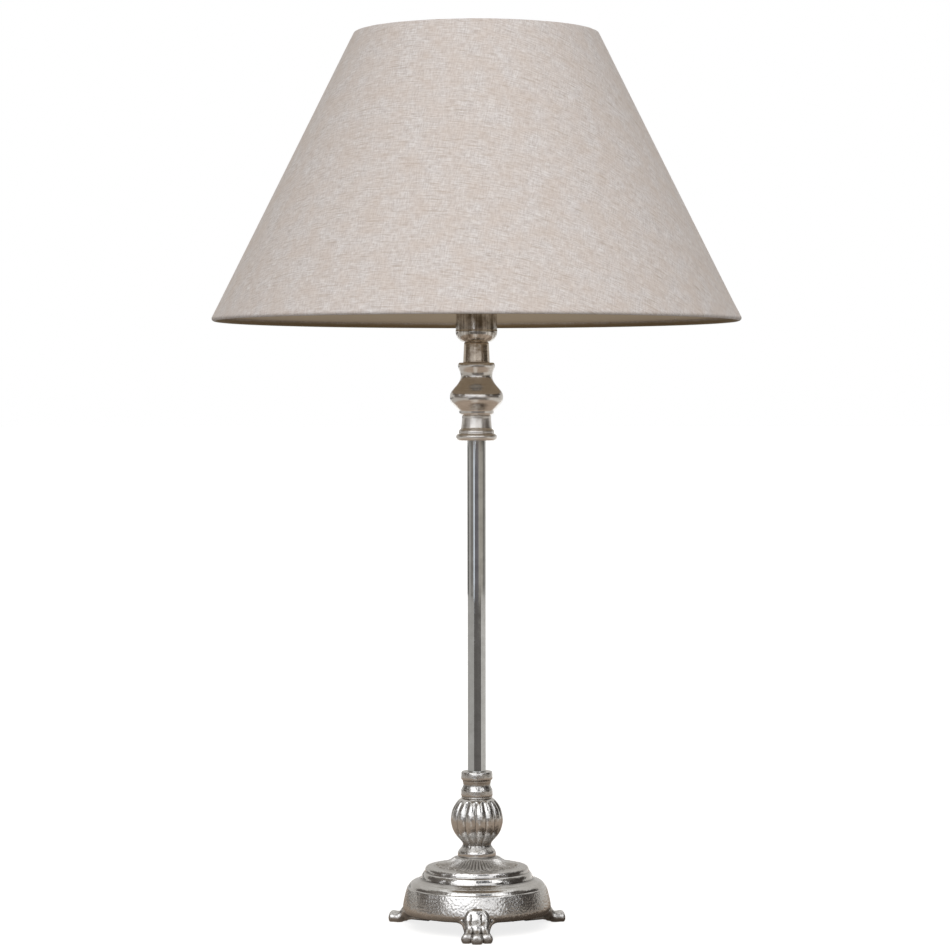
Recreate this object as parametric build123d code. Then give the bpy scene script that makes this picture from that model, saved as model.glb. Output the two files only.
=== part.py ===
from build123d import *
import os
from math import acos, atan, cos, degrees, radians, sin, sqrt, tan

# Table lamp. A cast, nickel-plated foot on three paws carries a fluted knop, a plain tube and
# a turned vase. One hollow threaded rod runs through the whole stack and ties it together.
# A bayonet lampholder on top of the rod carries a tapered linen shade.
# Millimetres, +Z up, origin on the table under the column, -Y to the front.

# Fits
FIT = 0.05  # radial clearance of a seated or screwed fit
LOOSE = 0.25  # radial clearance of the rod in the pieces that it ties
TURN = 0.08  # radial clearance of a running fit

# Cast foot: heights are measured on the outside, one above the other
BAND_GAP = 12.5  # table to the lower edge of the band
BAND_H = 19.3  # the hammered band
SHOULDER_H = 4.8  # rounded shoulder on the band
LEDGE_H = 1.6  # sloping ledge
STEP_H = 5.0  # wall of the upper step
CROWN_H = 4.1  # rounded edge of the upper step
TOP_H = 0.6  # nearly flat top
FLANK_H = 6.9  # hollow rise to the knop
BAND_R = 57.0
BAND_TOP_R = 52.9
LEDGE_R = 46.5
STEP_R = 42.6
STEP_TOP_R = 40.3
CROWN_R = 38.0
FLANK_R = 30.0
SEAT_R = 15.2
LINE = 0.6  # thin sunk line above the band and above the step
BAND_SWELL = 0.5  # the band is a little barrelled
WALL = 3.6
LEAF_COUNT = 32  # rays of the leaf relief around the knop
LEAF_R = 0.8
LEAF_REACH = 17.0

# Paw feet
FOOT_ANGLES = (-90, 30, 150)
FOOT_REACH = 21.0  # toe tip beyond the band
FOOT_W = 23.6
TOE_R = 4.0
TOE_BACK = 4.0  # side toes behind the middle one
SOLE = 0.5  # the round toes are cut flat by this much
KNEE_OUT = 4.6  # knee beyond the band
KNEE_W = 19.4
KNEE_TOP = 24.0
LUG_W = 15.0
LUG_T = 4.0
SCREW_IN = 11.0  # screw circle inside the band's lower edge
FOOT_SCREW_R = 2.0
FOOT_SCREW_L = 17.0
FOOT_SCREW_HEAD_R = 3.6
FOOT_SCREW_HEAD_H = 2.4
BOSS_R = 5.0

# Steel plate that closes the foot and weighs it down
PLATE_T = 7.0

# Fluted knop, the cup on it and the tube
KNOP_H = 44.4
KNOP_RING_R = 14.5
KNOP_RING_H = 6.0
KNOP_WAIST_R = 10.4
KNOP_WAIST_UP = 8.8
BULB_R = 19.8
BULB_UP = 28.4  # seat to the widest line
BULB_LOW = 21.0  # half heights of the two half ellipses
BULB_HIGH = 18.7
KNOP_TOP_R = 11.7
LOBES = 14
LOBE_DEPTH = 1.5
LOBE_TURN = -3.5  # a valley stands just beside the front
CUP_H = 20.5
CUP_RING_R = 11.9
CUP_WAIST_R = 10.3
CUP_LIP_R = 12.0
SOCKET_DEEP = 6.0
TUBE_R = 7.0
TUBE_WALL = 1.0
TUBE_SEEN = 251.7

# Collar on the tube, vase and neck
COLLAR_H = 18.9
COLLAR_FLANGE_R = 15.2
COLLAR_STEP_R = 13.1
COLLAR_R = 10.9
VASE_H = 40.2
VASE_FOOT_R = 12.9
VASE_R = 20.0
VASE_WAIST_R = 11.9
VASE_LIP_R = 13.9
NECK_H = 15.5
NECK_LOW_R = 10.1
NECK_TOP_R = 9.4

# Tie rod, an M10 x 1 hollow thread, with its nuts
ROD_R = 5.0
ROD_BORE_R = 3.5
PAD_R = 9.5  # pad under the nut in the foot
PAD_DOWN = 9.0  # its face below the knop's seat
WASHER_R = 9.0
WASHER_T = 1.5
TAG_T = 0.8
NUT_R = 8.6
NUT_H = 6.0
ROD_PAST = 2.5  # rod past its lower nut
LOCK_NUT_H = 3.0

# Bayonet lampholder, B22 pattern with a 29 mm shade thread
CAP_R = 15.7
CAP_H = 26.0
CAP_WALL = 1.3
CAP_ROUND_H = 9.5
ENTRY_R = 7.6
ENTRY_H = 6.0
BARREL_R = 14.3
BARREL_WALL = 0.8
BARREL_IN_CAP = 10.0
BARREL_ABOVE = 27.5
FLANGE_R = 16.6
FLANGE_T = 1.6
LIP_W = 2.0
LIP_T = 1.2
INSULATOR_H = 19.0
BAYONET_R = 11.2
BAYONET_WALL = 0.8
BAYONET_H = 19.5
BAYONET_FLANGE_T = 1.0
RELIEF = 0.5  # the sleeve is wider around the plungers
RELIEF_H = 7.5
SLOT_W = 2.6
SLOT_DEEP = 7.5
SLOT_TURN = 4.0
SLOT_BACK = 1.4
PLUNGER_X = 5.2
PLUNGER_R = 2.2
PLUNGER_UP = 5.5
PLUNGER_COLLAR_R = 2.7
PLUNGER_COLLAR_H = 2.0
PLUNGER_STOP = 3.0  # thickness of the insulator over the collars
SPRING_L = 11.0
SPRING_WIRE_R = 0.25
SPRING_TURNS = 7
TERMINAL_R = 1.4
TERMINAL_HEAD_R = 2.2
TERMINAL_HEAD_H = 1.6
TERMINAL_L = 5.0
TERMINAL_Y = 5.2

# Wiring inside the foot and the rod
WIRE_R = 1.15
BLOCK = (26.0, 14.0, 11.5)
BLOCK_Y = 25.0
BLOCK_PITCH = 8.0
BLOCK_SCREW_R = 1.7
BUSH_BORE_R = 3.5
BUSH_R = 4.7
BUSH_FLANGE_R = 5.8
BUSH_FLANGE_T = 1.6
BUSH_L = 6.5
BUSH_UP = 13.2  # bush above the band's lower edge
BUSH_IN = 4.4  # flange face inside the band's lower edge

# Shade and its carrier
SHADE_DROP = 13.5  # carrier ring above the lower rim
SHADE_H = 218.8
BOTTOM_WIRE_R = 198.4  # to the middle of the wire
TOP_WIRE_R = 91.6
RIM_WIRE_R = 1.05
CLOTH_T = 0.7
LINER_T = 0.5
GLUE = 0.1
HEM_SLACK = 0.6  # cloth around a rim wire
HEM_TURN = 22  # degrees past the wire at which the turned-in cloth leaves it
HEM_TAIL = 6.0
REDUCER_FLANGE_R = 25.0
REDUCER_FLANGE_T = 1.2
REDUCER_HUB_R = 20.8
CARRIER_R = 26.5
CARRIER_T = 1.6
CARRIER_PLAY = 0.3
SHADE_RING_R = 19.0
SHADE_RING_H = 7.0
RING_GRIPS = 24
ARM_R = 1.5
ARM_ANGLES = (90, 210, 330)

# Levels of the stack, from the table up
Z_BAND = BAND_GAP
Z_SHOULDER = Z_BAND + BAND_H
Z_LEDGE = Z_SHOULDER + SHOULDER_H
Z_STEP = Z_LEDGE + LEDGE_H
Z_STEP_TOP = Z_STEP + STEP_H
Z_CROWN = Z_STEP_TOP + CROWN_H
Z_FLANK = Z_CROWN + TOP_H
Z_SEAT = Z_FLANK + FLANK_H
Z_PLATE = Z_BAND + PLATE_T
Z_PAD = Z_SEAT - PAD_DOWN
Z_ROD = Z_PAD - WASHER_T - TAG_T - NUT_H - ROD_PAST
Z_CUP = Z_SEAT + KNOP_H
Z_CUP_TOP = Z_CUP + CUP_H
Z_COLLAR = Z_CUP_TOP + TUBE_SEEN
Z_VASE = Z_COLLAR + COLLAR_H
Z_NECK = Z_VASE + VASE_H
Z_CAP = Z_NECK + NECK_H
Z_ROD_TOP = Z_CAP + ENTRY_H + LOCK_NUT_H + 0.5
Z_RIM = Z_CAP + CAP_H
Z_FLANGE = Z_RIM + FLANGE_T
Z_BARREL = Z_RIM - BARREL_IN_CAP
Z_INSULATOR = Z_BARREL + LIP_T
Z_CONTACT = Z_INSULATOR + INSULATOR_H
Z_CARRIER = Z_FLANGE + REDUCER_FLANGE_T
Z_HUB = Z_CARRIER + CARRIER_T + CARRIER_PLAY
Z_SHADE = Z_CARRIER - SHADE_DROP
ROD_HOLE_R = ROD_R + LOOSE
SCREW_CIRCLE = BAND_R - SCREW_IN
HEM_R = RIM_WIRE_R + HEM_SLACK + CLOTH_T


def turned(*outline):
    """Turns an outline of (radius, height) points about Z. A third number makes the stretch
    that ends there an arc, which bulges by that much to the right of the way of travel."""
    edges = []
    for start, end in zip(outline, outline[1:] + outline[:1]):
        a, b = Vector(*start[:2]), Vector(*end[:2])
        if len(end) == 3:
            side = Vector((b - a).Y, -(b - a).X).normalized()
            edges.append(ThreePointArc(a, (a + b) / 2 + side * end[2], b))
        else:
            edges.append(Line(a, b))
    return revolve(Plane.XZ * make_face(edges), Axis.Z)


def ring(inner, outer, low, high):
    """A plain ring about Z."""
    return turned((inner, low), (outer, low), (outer, high), (inner, high))


def rod(radius, low, high, x=0.0, y=0.0):
    """A plain upright cylinder."""
    return Pos(x, y, low) * extrude(Circle(radius), high - low)


def spun(shape, angles):
    """Copies of a shape about Z."""
    return [Rot(0, 0, angle) * shape for angle in angles]


def band_radius(height):
    """Outside radius of the band at a height."""
    return BAND_R + (BAND_TOP_R - BAND_R) * (height - Z_BAND) / BAND_H


def base_dome():
    plate_seat = BAND_R - WALL + FIT
    dome = turned(
        (plate_seat, Z_BAND),
        (BAND_R, Z_BAND),
        (BAND_TOP_R, Z_SHOULDER, BAND_SWELL),
        (BAND_TOP_R - LINE, Z_SHOULDER),
        (LEDGE_R, Z_LEDGE, 1.1),
        (STEP_R, Z_STEP),
        (STEP_TOP_R, Z_STEP_TOP, 0.4),
        (STEP_TOP_R - LINE, Z_STEP_TOP),
        (CROWN_R, Z_CROWN, 0.5),
        (FLANK_R, Z_FLANK),
        (SEAT_R, Z_SEAT, -0.8),
        (ROD_HOLE_R, Z_SEAT),
        (ROD_HOLE_R, Z_PAD),
        (PAD_R, Z_PAD),
        (FLANK_R - WALL, Z_FLANK - WALL),
        (STEP_TOP_R - LINE - WALL, Z_STEP_TOP - WALL),
        (STEP_R - WALL, Z_STEP - WALL),
        (LEDGE_R - WALL, Z_LEDGE - WALL),
        (band_radius(Z_PLATE) - 1.6 * WALL, Z_PLATE),
        (plate_seat, Z_PLATE),
    )
    boss = rod(BOSS_R, Z_PLATE, Z_LEDGE - WALL / 2, SCREW_CIRCLE) & rod(band_radius(Z_LEDGE) - 1, 0, Z_SEAT)
    dome += spun(boss, FOOT_ANGLES)
    inlet_y = BAND_R - BUSH_IN
    band = turned((0, Z_PLATE), (band_radius(Z_PLATE), Z_PLATE), (BAND_TOP_R, Z_SHOULDER), (0, Z_SHOULDER))
    dome += inlet(inlet_y - BUSH_L, BAND_R, BUSH_FLANGE_R + 1.2) & band
    cuts = spun(rod(FOOT_SCREW_R + FIT, 0, Z_BAND - LUG_T + FOOT_SCREW_L + 1, SCREW_CIRCLE), FOOT_ANGLES)
    slope = degrees(atan(FLANK_H / (FLANK_R - SEAT_R)))
    ray = Rot(0, 90 + slope, 0) * extrude(Circle(LEAF_R), LEAF_REACH)
    ray = Pos(SEAT_R + 1.0, 0, Z_SEAT - 0.2) * ray
    cuts += spun(ray, [360 / LEAF_COUNT * n for n in range(LEAF_COUNT)])
    cuts.append(inlet(inlet_y, BAND_R, BUSH_FLANGE_R + FIT))
    cuts.append(inlet(inlet_y - BUSH_L - 2, inlet_y, BUSH_R + FIT))
    return dome - cuts


def inlet(near, far, radius):
    """A cylinder along Y at the height of the cord inlet."""
    return Pos(0, near, Z_BAND + BUSH_UP) * Rot(-90, 0, 0) * extrude(Circle(radius), far - near)


def cord_bush():
    face = BAND_R - BUSH_IN
    bush = inlet(face - BUSH_L, face, BUSH_R) + inlet(face, face + BUSH_FLANGE_T, BUSH_FLANGE_R)
    return bush - inlet(face - BUSH_L, face + BUSH_FLANGE_T, BUSH_BORE_R)


def paw_foot(angle):
    """One paw with three toes, a rounded knee and a lug under the foot's plate."""
    tip = BAND_R + FOOT_REACH
    knee_half = KNEE_TOP - Z_BAND / 2
    knee = Pos(BAND_R - 5, 0, KNEE_TOP - knee_half)
    foot = knee * scale(Sphere(1), by=(KNEE_OUT + 5, KNEE_W / 2, knee_half))
    instep = scale(Sphere(1), by=(FOOT_REACH - 8.5, KNEE_W / 2 + 0.2, 2.3 * TOE_R))
    foot += Pos(BAND_R + 1.5, 0, 1.0) * instep
    spread = FOOT_W / 2 - TOE_R
    for side, back in ((0, 0), (1, TOE_BACK), (-1, TOE_BACK)):
        ball = tip - TOE_R - back
        toe = Sphere(TOE_R) + Rot(0, -90, 0) * extrude(Circle(TOE_R), FOOT_REACH * 0.6)
        foot += Pos(ball, side * spread, TOE_R - SOLE) * Rot(0, 0, side * 9) * toe
    lug = Pos(SCREW_CIRCLE, 0, Z_BAND - LUG_T) * extrude(Circle(LUG_W / 2), LUG_T)
    lug += Pos((SCREW_CIRCLE + BAND_R) / 2, 0, Z_BAND - LUG_T / 2) * Box(SCREW_IN, LUG_W, LUG_T)
    space = ring(0, SCREW_CIRCLE + 5, -60, Z_BAND - LUG_T)
    foot = foot - space + lug
    inside = turned(
        (0, Z_BAND),
        (BAND_R + FIT, Z_BAND),
        (BAND_TOP_R + FIT, Z_SHOULDER, BAND_SWELL),
        (0, Z_SHOULDER),
    )
    below = Pos(0, 0, -30) * Box(4 * tip, 4 * tip, 60)
    hole = rod(FOOT_SCREW_R + FIT, 0, Z_BAND, SCREW_CIRCLE)
    return Rot(0, 0, angle) * (foot - [inside, below, hole])


def foot_screws():
    low = Z_BAND - LUG_T
    screw = rod(FOOT_SCREW_R, low, low + FOOT_SCREW_L, SCREW_CIRCLE)
    screw += rod(FOOT_SCREW_HEAD_R, low - FOOT_SCREW_HEAD_H, low, SCREW_CIRCLE)
    slot = Pos(SCREW_CIRCLE, 0, low - FOOT_SCREW_HEAD_H) * Box(2 * FOOT_SCREW_HEAD_R, 0.9, 1.6)
    return Compound(children=spun(screw - slot, FOOT_ANGLES))


def ballast_plate():
    plate = rod(BAND_R - WALL, Z_BAND, Z_PLATE)
    return plate - spun(rod(FOOT_SCREW_R + FIT, 0, Z_PLATE + 1, SCREW_CIRCLE), FOOT_ANGLES)


def lobed(radius, depth, height):
    """A closed outline of convex lobes about Z."""
    step = 360 / LOBES
    edges = []
    for n in range(LOBES):
        turn = n * step + LOBE_TURN - 90
        points = [(radius - depth, turn), (radius, turn + step / 2), (radius - depth, turn + step)]
        edges.append(ThreePointArc(*[(r * cos(radians(a)), r * sin(radians(a))) for r, a in points]))
    return Pos(0, 0, height) * make_face(edges)


def fluted_knop():
    middle = Z_SEAT + BULB_UP
    sections = []
    for share in (-0.84, -0.72, -0.52, -0.27, 0.0, 0.27, 0.5, 0.68, 0.78):
        half = BULB_LOW if share < 0 else BULB_HIGH
        radius = BULB_R * sqrt(1 - share * share)
        depth = LOBE_DEPTH * (1 - abs(share) ** 3) + 0.02
        sections.append(lobed(radius, depth, middle + share * half))
    low = middle - 0.84 * BULB_LOW
    high = middle + 0.78 * BULB_HIGH
    low_r = BULB_R * sqrt(1 - 0.84 ** 2)
    high_r = BULB_R * sqrt(1 - 0.78 ** 2)
    waist = Z_SEAT + KNOP_WAIST_UP
    knop = loft(sections)
    knop += turned(
        (0, Z_SEAT),
        (KNOP_RING_R - 0.5, Z_SEAT),
        (KNOP_RING_R, Z_SEAT + 0.5),
        (KNOP_RING_R, Z_SEAT + 0.5 * KNOP_RING_H, 0.2),
        (KNOP_RING_R - 2.2, Z_SEAT + KNOP_RING_H, 0.6),
        (KNOP_WAIST_R, waist, -0.5),
        (low_r - 0.4, low, -0.2),
        (low_r - 0.4, low + 1),
        (0, low + 1),
    )
    knop += turned(
        (0, high - 1),
        (high_r - 0.4, high - 1),
        (high_r - 0.4, high),
        (KNOP_TOP_R, Z_CUP),
        (0, Z_CUP),
    )
    return knop - rod(ROD_HOLE_R, Z_SEAT - 1, Z_CUP + 1)


def knop_cup():
    socket = Z_CUP_TOP - SOCKET_DEEP
    return turned(
        (ROD_HOLE_R, Z_CUP),
        (CUP_RING_R - 0.4, Z_CUP),
        (CUP_RING_R, Z_CUP + 0.6, 0.1),
        (CUP_RING_R, Z_CUP + 0.32 * CUP_H, 0.15),
        (CUP_WAIST_R, Z_CUP + 0.5 * CUP_H, -0.3),
        (CUP_LIP_R, Z_CUP + 0.72 * CUP_H, -0.4),
        (CUP_LIP_R - 0.3, Z_CUP_TOP - 0.8, 0.15),
        (CUP_LIP_R - 1.2, Z_CUP_TOP, 0.25),
        (TUBE_R + 1.6, Z_CUP_TOP),
        (TUBE_R + FIT, Z_CUP_TOP - 1.2),
        (TUBE_R + FIT, socket),
        (ROD_HOLE_R, socket),
    )


def column_tube():
    return ring(TUBE_R - TUBE_WALL, TUBE_R, Z_CUP_TOP - SOCKET_DEEP, Z_COLLAR + SOCKET_DEEP)


def tube_collar():
    socket = Z_COLLAR + SOCKET_DEEP
    return turned(
        (TUBE_R + FIT, Z_COLLAR),
        (COLLAR_FLANGE_R - 1.5, Z_COLLAR),
        (COLLAR_FLANGE_R, Z_COLLAR + 1.6, 0.35),
        (COLLAR_FLANGE_R - 0.7, Z_COLLAR + 4.4, 0.45),
        (COLLAR_STEP_R, Z_COLLAR + 4.8, -0.2),
        (COLLAR_STEP_R, Z_COLLAR + 7.6, 0.2),
        (COLLAR_R + 0.5, Z_COLLAR + 8.8, -0.2),
        (COLLAR_R, Z_COLLAR + 0.65 * COLLAR_H, -0.1),
        (COLLAR_R + 0.3, Z_VASE, -0.1),
        (ROD_HOLE_R, Z_VASE),
        (ROD_HOLE_R, socket),
        (TUBE_R + FIT, socket),
    )


def upper_vase():
    return turned(
        (ROD_HOLE_R, Z_VASE),
        (VASE_FOOT_R - 0.5, Z_VASE),
        (VASE_FOOT_R, Z_VASE + 0.6),
        (VASE_FOOT_R, Z_VASE + 0.10 * VASE_H),
        (VASE_FOOT_R + 0.4, Z_VASE + 0.12 * VASE_H),
        (VASE_R - 0.95, Z_VASE + 0.28 * VASE_H, 0.15),
        (VASE_R, Z_VASE + 0.355 * VASE_H, 0.2),
        (VASE_R - 1.55, Z_VASE + 0.468 * VASE_H, 0.4),
        (VASE_WAIST_R + 2.6, Z_VASE + 0.58 * VASE_H),
        (VASE_WAIST_R, Z_VASE + 0.74 * VASE_H, -0.45),
        (VASE_LIP_R - 0.4, Z_VASE + 0.885 * VASE_H, -0.35),
        (VASE_LIP_R, Z_VASE + 0.945 * VASE_H, 0.1),
        (VASE_LIP_R - 1.0, Z_NECK, 0.35),
        (ROD_HOLE_R, Z_NECK),
    )


def neck_sleeve():
    return turned(
        (ROD_HOLE_R, Z_NECK),
        (NECK_LOW_R + 0.2, Z_NECK),
        (NECK_LOW_R, Z_NECK + 0.8),
        (NECK_TOP_R, Z_CAP - 0.4),
        (NECK_TOP_R - 0.4, Z_CAP),
        (ROD_HOLE_R, Z_CAP),
    )


def tie_rod():
    return ring(ROD_BORE_R, ROD_R, Z_ROD, Z_ROD_TOP)


def rod_washer():
    return ring(ROD_HOLE_R, WASHER_R, Z_PAD - WASHER_T, Z_PAD)


def earth_tag():
    """Ring tag under the nut, with a tongue for the earth wire."""
    low = Z_PAD - WASHER_T - TAG_T
    tag = rod(WASHER_R - 0.5, low, low + TAG_T)
    tag += Pos(0, WASHER_R + 1.5, low + TAG_T / 2) * Box(5, 7, TAG_T)
    return tag - rod(ROD_HOLE_R, low - 1, low + TAG_T + 1)


def hex_nut(low, height):
    nut = Pos(0, 0, low) * extrude(RegularPolygon(NUT_R, 6), height)
    return nut - rod(ROD_R + FIT, low - 1, low + height + 1)


def terminal_block():
    block = Pos(0, BLOCK_Y, Z_PLATE + BLOCK[2] / 2) * Box(*BLOCK)
    cuts = []
    for x in block_places():
        cuts.append(rod(BLOCK_SCREW_R + FIT, block_wire_z(), Z_PLATE + BLOCK[2] + 1, x, BLOCK_Y))
        cuts.append(block_bore(x, WIRE_R + FIT))
    return block - cuts


def block_places():
    return (-BLOCK_PITCH, 0.0, BLOCK_PITCH)


def block_bore(x, radius):
    """Where a wire enters the block from the front."""
    front = BLOCK_Y - BLOCK[1] / 2
    return Pos(x, front - 1, block_wire_z()) * Rot(-90, 0, 0) * extrude(Circle(radius), BLOCK[1] / 2 + 1)


def block_wire_z():
    return Z_PLATE + 0.42 * BLOCK[2]


def block_screws():
    top = Z_PLATE + BLOCK[2] - 1
    low = block_wire_z() + WIRE_R + FIT
    return Compound(children=[rod(BLOCK_SCREW_R, low, top, x, BLOCK_Y) for x in block_places()])


def bent_wire(*points):
    """A round wire along straight runs with the widest bends that the runs leave room for."""
    points = [Vector(*p) for p in points]
    radii = []
    for before, here, after in zip(points, points[1:], points[2:]):
        a, b = here - before, after - here
        turn = acos(max(-1, min(1, a.normalized().dot(b.normalized()))))
        radii.append(0.45 * min(a.length, b.length) / tan(turn / 2))
    path = FilletPolyline(*points, radius=radii)
    start = Plane(origin=path @ 0, z_dir=path % 0)
    return sweep(start * Circle(WIRE_R), path)


def supply_wire(side):
    """From the terminal block through the rod to the lampholder's terminal."""
    block_y = BLOCK_Y - BLOCK[1] / 2
    core = side * (WIRE_R + 0.1)
    return bent_wire(
        (side * BLOCK_PITCH, block_y + 4, block_wire_z()),
        (side * BLOCK_PITCH, block_y - 5, block_wire_z()),
        (core, 0, Z_ROD - 6),
        (core, 0, Z_ROD_TOP + 0.5),
        (side * PLUNGER_X, -TERMINAL_Y, Z_INSULATOR - 2.5),
        (side * PLUNGER_X, -TERMINAL_Y, Z_INSULATOR + 3.0),
    )


def earth_wire():
    block_y = BLOCK_Y - BLOCK[1] / 2
    tag = Z_PAD - WASHER_T - TAG_T - WIRE_R
    return bent_wire(
        (0, block_y + 4, block_wire_z()),
        (0, block_y - 3, block_wire_z()),
        (0, WASHER_R + 8, tag),
        (0, WASHER_R + 1.0, tag),
    )


def lampholder_cap():
    inner = CAP_R - CAP_WALL
    return turned(
        (ROD_R + FIT, Z_CAP),
        (NECK_TOP_R + 0.1, Z_CAP),
        (CAP_R, Z_CAP + CAP_ROUND_H, 2.2),
        (CAP_R, Z_RIM),
        (inner, Z_RIM),
        (inner, Z_CAP + CAP_ROUND_H),
        (NECK_TOP_R + 0.1, Z_CAP + CAP_WALL, -2.0),
        (ENTRY_R, Z_CAP + CAP_WALL),
        (ENTRY_R, Z_CAP + ENTRY_H),
        (ROD_R + FIT, Z_CAP + ENTRY_H),
    )


def lampholder_barrel():
    inner = BARREL_R - BARREL_WALL
    top = Z_RIM + BARREL_ABOVE
    return turned(
        (inner - LIP_W, Z_BARREL),
        (BARREL_R, Z_BARREL),
        (BARREL_R, Z_RIM),
        (FLANGE_R, Z_RIM),
        (FLANGE_R, Z_FLANGE),
        (BARREL_R, Z_FLANGE),
        (BARREL_R, top - 0.3),
        (BARREL_R - 0.3, top),
        (inner, top),
        (inner, Z_INSULATOR),
        (inner - LIP_W, Z_INSULATOR),
    )


def lampholder_insulator():
    body = rod(BARREL_R - BARREL_WALL - TURN, Z_INSULATOR, Z_CONTACT)
    collar_top = Z_CONTACT - PLUNGER_STOP
    cuts = []
    for side in (-1, 1):
        x = side * PLUNGER_X
        cuts.append(rod(PLUNGER_R + TURN, collar_top - 1, Z_CONTACT + 1, x))
        cuts.append(rod(PLUNGER_COLLAR_R + TURN, spring_seat(), collar_top, x))
        cuts.append(rod(WIRE_R + FIT, Z_INSULATOR - 1, Z_INSULATOR + 3.2, x, -TERMINAL_Y))
        cuts.append(rod(TERMINAL_R + FIT, Z_INSULATOR - 1, Z_INSULATOR + TERMINAL_L, x, TERMINAL_Y))
    return body - cuts


def spring_seat():
    return Z_CONTACT - PLUNGER_STOP - FIT - PLUNGER_COLLAR_H - SPRING_L


def terminal_screws():
    screws = []
    for side in (-1, 1):
        screw = rod(TERMINAL_R, Z_INSULATOR, Z_INSULATOR + TERMINAL_L, side * PLUNGER_X, TERMINAL_Y)
        head = rod(TERMINAL_HEAD_R, Z_INSULATOR - TERMINAL_HEAD_H, Z_INSULATOR, side * PLUNGER_X, TERMINAL_Y)
        screws.append(screw + head)
    return Compound(children=screws)


def contact_plunger(side):
    collar = Z_CONTACT - PLUNGER_STOP - FIT
    tip = Z_CONTACT + PLUNGER_UP
    plunger = turned(
        (0, collar - PLUNGER_COLLAR_H),
        (PLUNGER_COLLAR_R, collar - PLUNGER_COLLAR_H),
        (PLUNGER_COLLAR_R, collar),
        (PLUNGER_R, collar),
        (PLUNGER_R, tip - 0.8),
        (PLUNGER_R - 0.8, tip, 0.3),
        (0, tip),
    )
    return Pos(side * PLUNGER_X, 0, 0) * plunger


def plunger_spring(side):
    """Round wire wound in one unbroken coil under a plunger."""
    length = SPRING_L - 2 * SPRING_WIRE_R - 0.1
    coil = Helix(length / SPRING_TURNS, length, PLUNGER_R - 0.2)
    start = Plane(origin=coil @ 0, z_dir=coil % 0)
    spring = sweep(start * Circle(SPRING_WIRE_R), coil, is_frenet=True)
    return Pos(side * PLUNGER_X, 0, spring_seat() + SPRING_WIRE_R + 0.05) * spring


def bayonet_sleeve():
    top = Z_CONTACT + BAYONET_H
    outer = BAYONET_R + BAYONET_WALL
    sleeve = turned(
        (BAYONET_R + RELIEF, Z_CONTACT),
        (BARREL_R - BARREL_WALL - TURN, Z_CONTACT),
        (BARREL_R - BARREL_WALL - TURN, Z_CONTACT + BAYONET_FLANGE_T),
        (outer + 0.1, Z_CONTACT + BAYONET_FLANGE_T),
        (outer + 0.1, top),
        (BAYONET_R, top),
        (BAYONET_R, Z_CONTACT + RELIEF_H),
        (BAYONET_R + RELIEF, Z_CONTACT + RELIEF_H),
    )
    deep = 4 * BAYONET_WALL + 2
    floor = top - SLOT_DEEP
    back_h = SLOT_W + SLOT_BACK
    down = Pos(BAYONET_R, 0, floor + SLOT_DEEP / 2 + 1) * Box(deep, SLOT_W, SLOT_DEEP + 2)
    across = Pos(BAYONET_R, SLOT_TURN / 2, floor + SLOT_W / 2) * Box(deep, SLOT_W + SLOT_TURN, SLOT_W)
    back = Pos(BAYONET_R, SLOT_TURN, floor + back_h / 2) * Box(deep, SLOT_W, back_h)
    return sleeve - spun(down + across + back, (0, 180))


def reducer_ring():
    """Plastic seat that fits the carrier's wide hole to the lampholder's thread."""
    bore = BARREL_R + TURN
    return turned(
        (bore, Z_FLANGE),
        (REDUCER_FLANGE_R, Z_FLANGE),
        (REDUCER_FLANGE_R, Z_CARRIER),
        (REDUCER_HUB_R, Z_CARRIER),
        (REDUCER_HUB_R, Z_HUB),
        (bore, Z_HUB),
    )


def shade_ring():
    """Ring nut that clamps the seat, with finger grips around it."""
    nut = ring(BARREL_R + TURN, SHADE_RING_R, Z_HUB, Z_HUB + SHADE_RING_H)
    grip = rod(0.9, Z_HUB - 1, Z_HUB + SHADE_RING_H + 1, SHADE_RING_R + 0.3)
    return nut - spun(grip, [360 / RING_GRIPS * n for n in range(RING_GRIPS)])


def carrier_ring():
    return ring(REDUCER_HUB_R + TURN, CARRIER_R, Z_CARRIER, Z_CARRIER + CARRIER_T)


# The shade's cross-section: two rim wires, and the straight wall that touches both outside
Z_LOW_WIRE = Z_SHADE + HEM_R
Z_TOP_WIRE = Z_SHADE + SHADE_H - HEM_R
WALL_RUN = Vector(TOP_WIRE_R - BOTTOM_WIRE_R, Z_TOP_WIRE - Z_LOW_WIRE)
WALL_L = WALL_RUN.length
UP_WALL = WALL_RUN.normalized()


def wall_plane():
    """Sketch plane whose origin is the lower wire, X runs up the wall and Y out of the shade."""
    origin = (BOTTOM_WIRE_R, 0, Z_LOW_WIRE)
    return Plane(origin=origin, x_dir=(UP_WALL.X, 0, UP_WALL.Y), z_dir=(0, 1, 0))


def wall_shell(outside, thick, start, end):
    """A shell of the wall between two distances from the lower wire."""
    inside = outside - thick
    strip = Polyline((start, outside), (end, outside), (end, inside), (start, inside), close=True)
    return revolve(wall_plane() * make_face(strip), Axis.Z)


def shade_cover():
    return wall_shell(HEM_R, CLOTH_T, 0, WALL_L)


def shade_liner():
    end = RIM_WIRE_R + 0.3
    return wall_shell(HEM_R - CLOTH_T - GLUE, LINER_T, end, WALL_L - end)


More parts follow.
